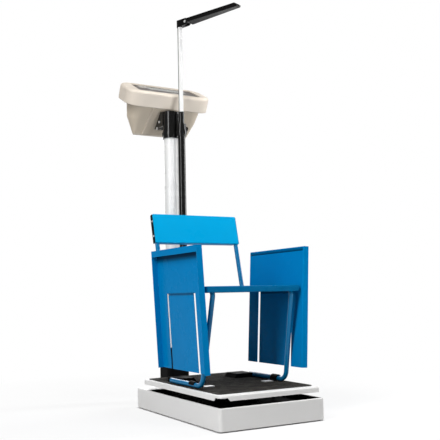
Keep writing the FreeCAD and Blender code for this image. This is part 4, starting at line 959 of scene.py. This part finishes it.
class DisplayPrint(bpy.types.Operator):
    """Prints the display's frame, its figures and the frames round the keys"""
    bl_idname = "column_scale.display"
    bl_label = "Display print"

    def execute(self, context):
        ink = context.scene.scale_fittings.ink_depth
        head = head_frame()
        window = head.inverted() @ middle("display_window")
        frames = {"display_window": (62.5 * MM, 22 * MM, 4 * MM, 1.5 * MM)}
        frames.update({name: (11.5 * MM, 8 * MM, 3.5 * MM, 0.8 * MM) for name in ("key_1", "key_2", "key_3", "key_4")})
        frames["power_key"] = (15 * MM, 11.5 * MM, 3.5 * MM, 0.8 * MM)

        def frame_lines(code):
            for name, (half_x, half_y, corner, line) in frames.items():
                centre = head.inverted() @ middle(name)
                printed(code, head @ Matrix.Translation((centre.x, centre.y, 0)),
                        rounded_outline(half_x, half_y, corner), ink,
                        rounded_outline(half_x - line, half_y - line, corner - line))

        new_piece("display_lines", frame_lines, "pale_ink", "base")

        def figures(code):
            row, thick, dot, dot_sides = "0000", 2 * MM, 1.1 * MM, 12
            pitch, width, height, stroke = 15 * MM, 9 * MM, 20 * MM, 2.2 * MM
            for k, figure in enumerate(row):
                x = window.x + (k - (len(row) - 1) / 2) * pitch
                spot = head @ Matrix.Translation((x, window.y, -thick + ink))
                for outline in segment_outlines(figure, width, height, stroke):
                    printed(code, spot, outline, ink)
            spot = head @ Matrix.Translation((window.x + pitch, window.y - height / 2, -thick + ink))
            printed(code, spot, circle(dot, dot_sides), ink)

        new_piece("display_figures", figures, "ink", "base")
        return {"FINISHED"}


# Turns round the rod between which the painted shade bands lie, and their margin at the rod's ends
BAND_START, BAND_END, BAND_MARGIN = math.radians(57), math.radians(110), 2 * MM
MARK_LENGTHS = {10: 9 * MM, 2: 6.5 * MM, 1: 4.5 * MM}  # at each 5 cm, 1 cm and half centimetre
MARK_START, MARK_THICK = -4 * MM, 0.5 * MM
FIGURE_EVERY, FIGURE_RISE = 5, 2.55 * MM
PER_METRE = 100  # the marks count centimetres


class RodScale(bpy.types.Operator):
    """Prints the height scale on the side of the rod that faces the operator, and paints shade down both sides of it
    """
    bl_idname = "column_scale.rod"
    bl_label = "Height scale"

    def execute(self, context):
        sizes = context.scene.scale_fittings
        low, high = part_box("height_rod")
        axis = middle("height_rod")
        radius = half_size(low, high)[0]
        read_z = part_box("middle_tube")[1].z
        now = (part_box("measuring_arm")[0].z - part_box("platform_mat")[1].z) * PER_METRE
        ink = sizes.ink_depth

        def wrapped(x, z, depth):
            """A point on the rod's back; x runs to the operator's right round it, z up it."""
            turn = math.pi / 2 + x / radius
            return (axis.x + (radius + depth) * math.cos(turn), axis.y + (radius + depth) * math.sin(turn), z)

        def tick(code, z, x0, x1, thick):
            """A bar bent round the rod."""
            half, steps = thick / 2, 6
            loft(code, [[wrapped(x0 + (x1 - x0) * k / steps, z + dz, d)
                         for dz, d in ((-half, -ink), (-half, ink), (half, ink), (half, -ink))]
                        for k in range(steps + 1)])

        def marks(code):
            for half in range(2 * sizes.first_mark, 2 * sizes.last_mark + 1):
                reach = next(reach for every, reach in MARK_LENGTHS.items() if half % every == 0)
                tick(code, read_z + (now - half / 2) / PER_METRE, MARK_START, MARK_START + reach, MARK_THICK)

        new_piece("rod_marks", marks, "ink", "height_rod")

        # Painted shade: grey bands down both sides of the rod darken its edges
        def bands(code):
            bottom, top = low.z + BAND_MARGIN, high.z - BAND_MARGIN
            for side in SIDES:
                tick(code, (bottom + top) / 2, side * BAND_START * radius, side * BAND_END * radius, top - bottom)

        new_piece("rod_bands", bands, "painted_rod_shade", "height_rod")

        def figures(code):
            for value in range(sizes.first_mark, sizes.last_mark + 1):
                if value % FIGURE_EVERY == 0:
                    z = read_z + (now - value) / PER_METRE + FIGURE_RISE
                    self.numeral(code, str(value), z, sizes.numeral_height, ink, wrapped)

        new_piece("rod_figures", figures, "ink", "height_rod")
        return {"FINISHED"}

    def numeral(self, code, text, z, height, ink, wrapped):
        """Figures of seven bars each, bent round the rod."""
        width, tall, stroke = height * 0.42, height * 0.86, height * 0.13
        pitch = width * 1.6
        for k, figure in enumerate(text):
            x = (k - (len(text) - 1) / 2) * pitch
            for outline in segment_outlines(figure, width, tall, stroke):
                loft(code, [[wrapped(x + px, z + pz, depth) for px, pz in outline] for depth in (-ink, ink)])


# Stage

PHOTO_SIDE = 440
FOCAL_PIXELS = 725.33
SENSOR = 36.0
VIEW_YAW, VIEW_PITCH, VIEW_ROLL = (math.radians(a) for a in (-29.13, 5.96, -1.28))
VIEW_FROM_BASE = Vector((-0.92282, -1.65562, 0.29974))
FLOOR_TONE, FLOOR_BOUNCE = 0.86, 0.42
FLOOR_RADIUS, FLOOR_SIDES = 14, 96
SHADOW_NEAR, SHADOW_FAR, BASE_FADE = 0.5, 1.1, 4 * MM
WALL = (0.49, 0.87, 0.0)
WALL_CORE, WALL_EDGE = math.radians(30), math.radians(50)
WHITE = (1, 1, 1, 1)
LAMP_TARGET = Vector((0, 0, 0.45))
HEAD_SPREAD = math.radians(26)
LAMPS = {  # place, width and height
    "strip": ((-2.05, -0.95, 1.15), 0.4, 1.9),
    "side": ((-1.7, -1.0, 2.3), 0.9, 0.9),
    "front": ((0.6, -1.7, 2.8), 1.0, 1.0),
    "head": ((0.8, -2.2, 0.35), 0.6, 0.6),
    "right": ((2.05, -0.45, 1.4), 0.4, 1.7),
    "back": ((0.7, 2.5, 1.1), 1.0, 1.0),
    "top": ((0.2, 0.1, 3.5), 2.2, 2.2),
}


def view_matrix():
    """The camera's frame from its heading, rise and roll."""
    flat = math.cos(VIEW_PITCH)
    ahead = Vector((-math.sin(VIEW_YAW) * flat, math.cos(VIEW_YAW) * flat, math.sin(VIEW_PITCH)))
    right = Vector((math.cos(VIEW_YAW), math.sin(VIEW_YAW), 0))
    up = right.cross(ahead)
    x = right * math.cos(VIEW_ROLL) + up * math.sin(VIEW_ROLL)
    y = up * math.cos(VIEW_ROLL) - right * math.sin(VIEW_ROLL)
    turn = Matrix((x, y, -ahead)).transposed().to_4x4()
    base = middle("base_shell")
    return Matrix.Translation(Vector((base.x, base.y, 0)) + VIEW_FROM_BASE) @ turn


class Studio(bpy.types.Operator):
    """Sets the floor, the lamps, the backdrop and the camera"""
    bl_idname = "column_scale.studio"
    bl_label = "Studio"

    def execute(self, context):
        studio = context.scene.scale_studio
        self.camera(context)
        self.floor(context, studio.shadow)
        self.backdrop(context, studio.room)
        for name, (place, width, height) in LAMPS.items():
            light = bpy.data.lights.new(name + "_lamp", "AREA")
            light.shape = "RECTANGLE"
            light.size, light.size_y = width, height
            light.energy = getattr(studio, name + "_power")
            target = LAMP_TARGET
            if name == "head":
                light.spread, target = HEAD_SPREAD, middle("head_bezel")
            lamp = bpy.data.objects.new(name + "_lamp", light)
            context.scene.collection.objects.link(lamp)
            turn = (target - Vector(place)).to_track_quat("-Z", "Y").to_matrix().to_4x4()
            lamp.matrix_world = Matrix.Translation(place) @ turn
        context.scene.view_settings.view_transform = "Standard"
        return {"FINISHED"}

    def camera(self, context):
        lens = bpy.data.cameras.new("photo_camera")
        lens.sensor_width = SENSOR
        lens.lens = FOCAL_PIXELS / PHOTO_SIDE * SENSOR
        eye = bpy.data.objects.new("photo_camera", lens)
        context.scene.collection.objects.link(eye)
        eye.matrix_world = view_matrix()
        context.scene.camera = eye

    def seen_rays(self, tree, mirrored=1.0):
        """One where the camera looks straight at the surface; reflections and glass count by a share."""
        path = join(tree, "ShaderNodeLightPath").outputs
        bent = math_node(tree, "MAXIMUM", path["Is Glossy Ray"], path["Is Transmission Ray"])
        return math_node(tree, "MAXIMUM", path["Is Camera Ray"], product(tree, bent, mirrored))

    def floor(self, context, shadow):
        """A floor that glows white where it is seen, apart from the shadow near the base."""
        code = bmesh.new()
        bmesh.ops.create_circle(code, cap_ends=True, segments=FLOOR_SIDES, radius=FLOOR_RADIUS)
        mesh = bpy.data.meshes.new("studio_floor")
        code.to_mesh(mesh)
        code.free()
        floor = bpy.data.objects.new("studio_floor", mesh)
        context.scene.collection.objects.link(floor)
        material = bpy.data.materials.new("Studio floor")
        material.use_nodes = True
        tree = material.node_tree
        tree.nodes.clear()
        where = own_coordinates(tree)
        away = join(tree, "ShaderNodeVectorMath", {0: where}, operation="LENGTH").outputs["Value"]
        near = spread(tree, away, SHADOW_NEAR, SHADOW_FAR, shadow, 0.0)
        near = math_node(tree, "MAXIMUM", near, self.under_base(tree, where))
        share = product(tree, self.seen_rays(tree), math_node(tree, "SUBTRACT", 1.0, near))
        camera = join(tree, "ShaderNodeLightPath").outputs["Is Camera Ray"]
        tone = blended(tree, camera, rgba((FLOOR_BOUNCE,) * 3), rgba((FLOOR_TONE,) * 3))
        paint = join(tree, "ShaderNodeBsdfDiffuse", {"Color": tone}).outputs[0]
        glow = join(tree, "ShaderNodeEmission", {"Color": WHITE, "Strength": 1.0}).outputs[0]
        mixed = join(tree, "ShaderNodeMixShader", {0: share, 1: paint, 2: glow}).outputs[0]
        join(tree, "ShaderNodeOutputMaterial", {"Surface": mixed})
        mesh.materials.append(material)

    def under_base(self, tree, where):
        """One on the floor under the base, which lies in full shadow."""
        low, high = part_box("base_shell")
        place = parts_of(tree, where)
        shares = []
        for axis, start, end in (("X", low.x, high.x), ("Y", low.y, high.y)):
            shares.append(spread(tree, place[axis], start - BASE_FADE, start))
            shares.append(spread(tree, place[axis], end, end + BASE_FADE, 1.0, 0.0))
        return product(tree, *shares)

    def backdrop(self, context, room):
        """Even light from all round; the camera sees white, and reflections see a white wall behind."""
        world = bpy.data.worlds.new("Studio backdrop")
        context.scene.world = world
        world.use_nodes = True
        tree = world.node_tree
        tree.nodes.clear()
        even, white = [join(tree, "ShaderNodeBackground", {"Color": WHITE, "Strength": strength}).outputs[0]
                       for strength in (room, 1.0)]
        towards = join(tree, "ShaderNodeTexCoord").outputs["Generated"]
        wall = join(tree, "ShaderNodeVectorMath", {0: towards, 1: WALL}, operation="DOT_PRODUCT").outputs["Value"]
        sweep = spread(tree, wall, math.cos(WALL_EDGE), math.cos(WALL_CORE))
        mixed = join(tree, "ShaderNodeMixShader", {0: self.seen_rays(tree, sweep), 1: even, 2: white}).outputs[0]
        join(tree, "ShaderNodeOutputWorld", {"Surface": mixed})


class ScaleSidebar(bpy.types.Panel):
    """Lists the settings and the steps"""
    bl_idname = "VIEW3D_PT_column_scale"
    bl_label = "Column scale"
    bl_space_type = "VIEW_3D"
    bl_region_type = "UI"
    bl_category = "Column scale"

    def draw(self, context):
        for step in STEPS:
            self.layout.operator(step.bl_idname)
        for group in GROUPS:
            box = self.layout.box()
            settings = getattr(context.scene, group)
            for key in settings.__annotations__:
                box.prop(settings, key)


GROUPS = {"scale_finishes": ScaleFinishes, "scale_fittings": ScaleFittings, "scale_studio": ScaleStudio}
STEPS = (FinishSolids, RibbedMat, CornerGuards, Fasteners, BlackPlates, WeldBeads, DisplayPrint, RodScale, Studio)


def register():
    for cls in (*GROUPS.values(), *STEPS, ScaleSidebar):
        bpy.utils.register_class(cls)
    for name, group in GROUPS.items():
        setattr(bpy.types.Scene, name, PointerProperty(type=group))


def unregister():
    for name in GROUPS:
        delattr(bpy.types.Scene, name)
    for cls in reversed((*GROUPS.values(), *STEPS, ScaleSidebar)):
        bpy.utils.unregister_class(cls)


def main():
    register()
    for step in STEPS:
        family, name = step.bl_idname.split(".")
        getattr(getattr(bpy.ops, family), name)()


if __name__ == "__main__":
    main()
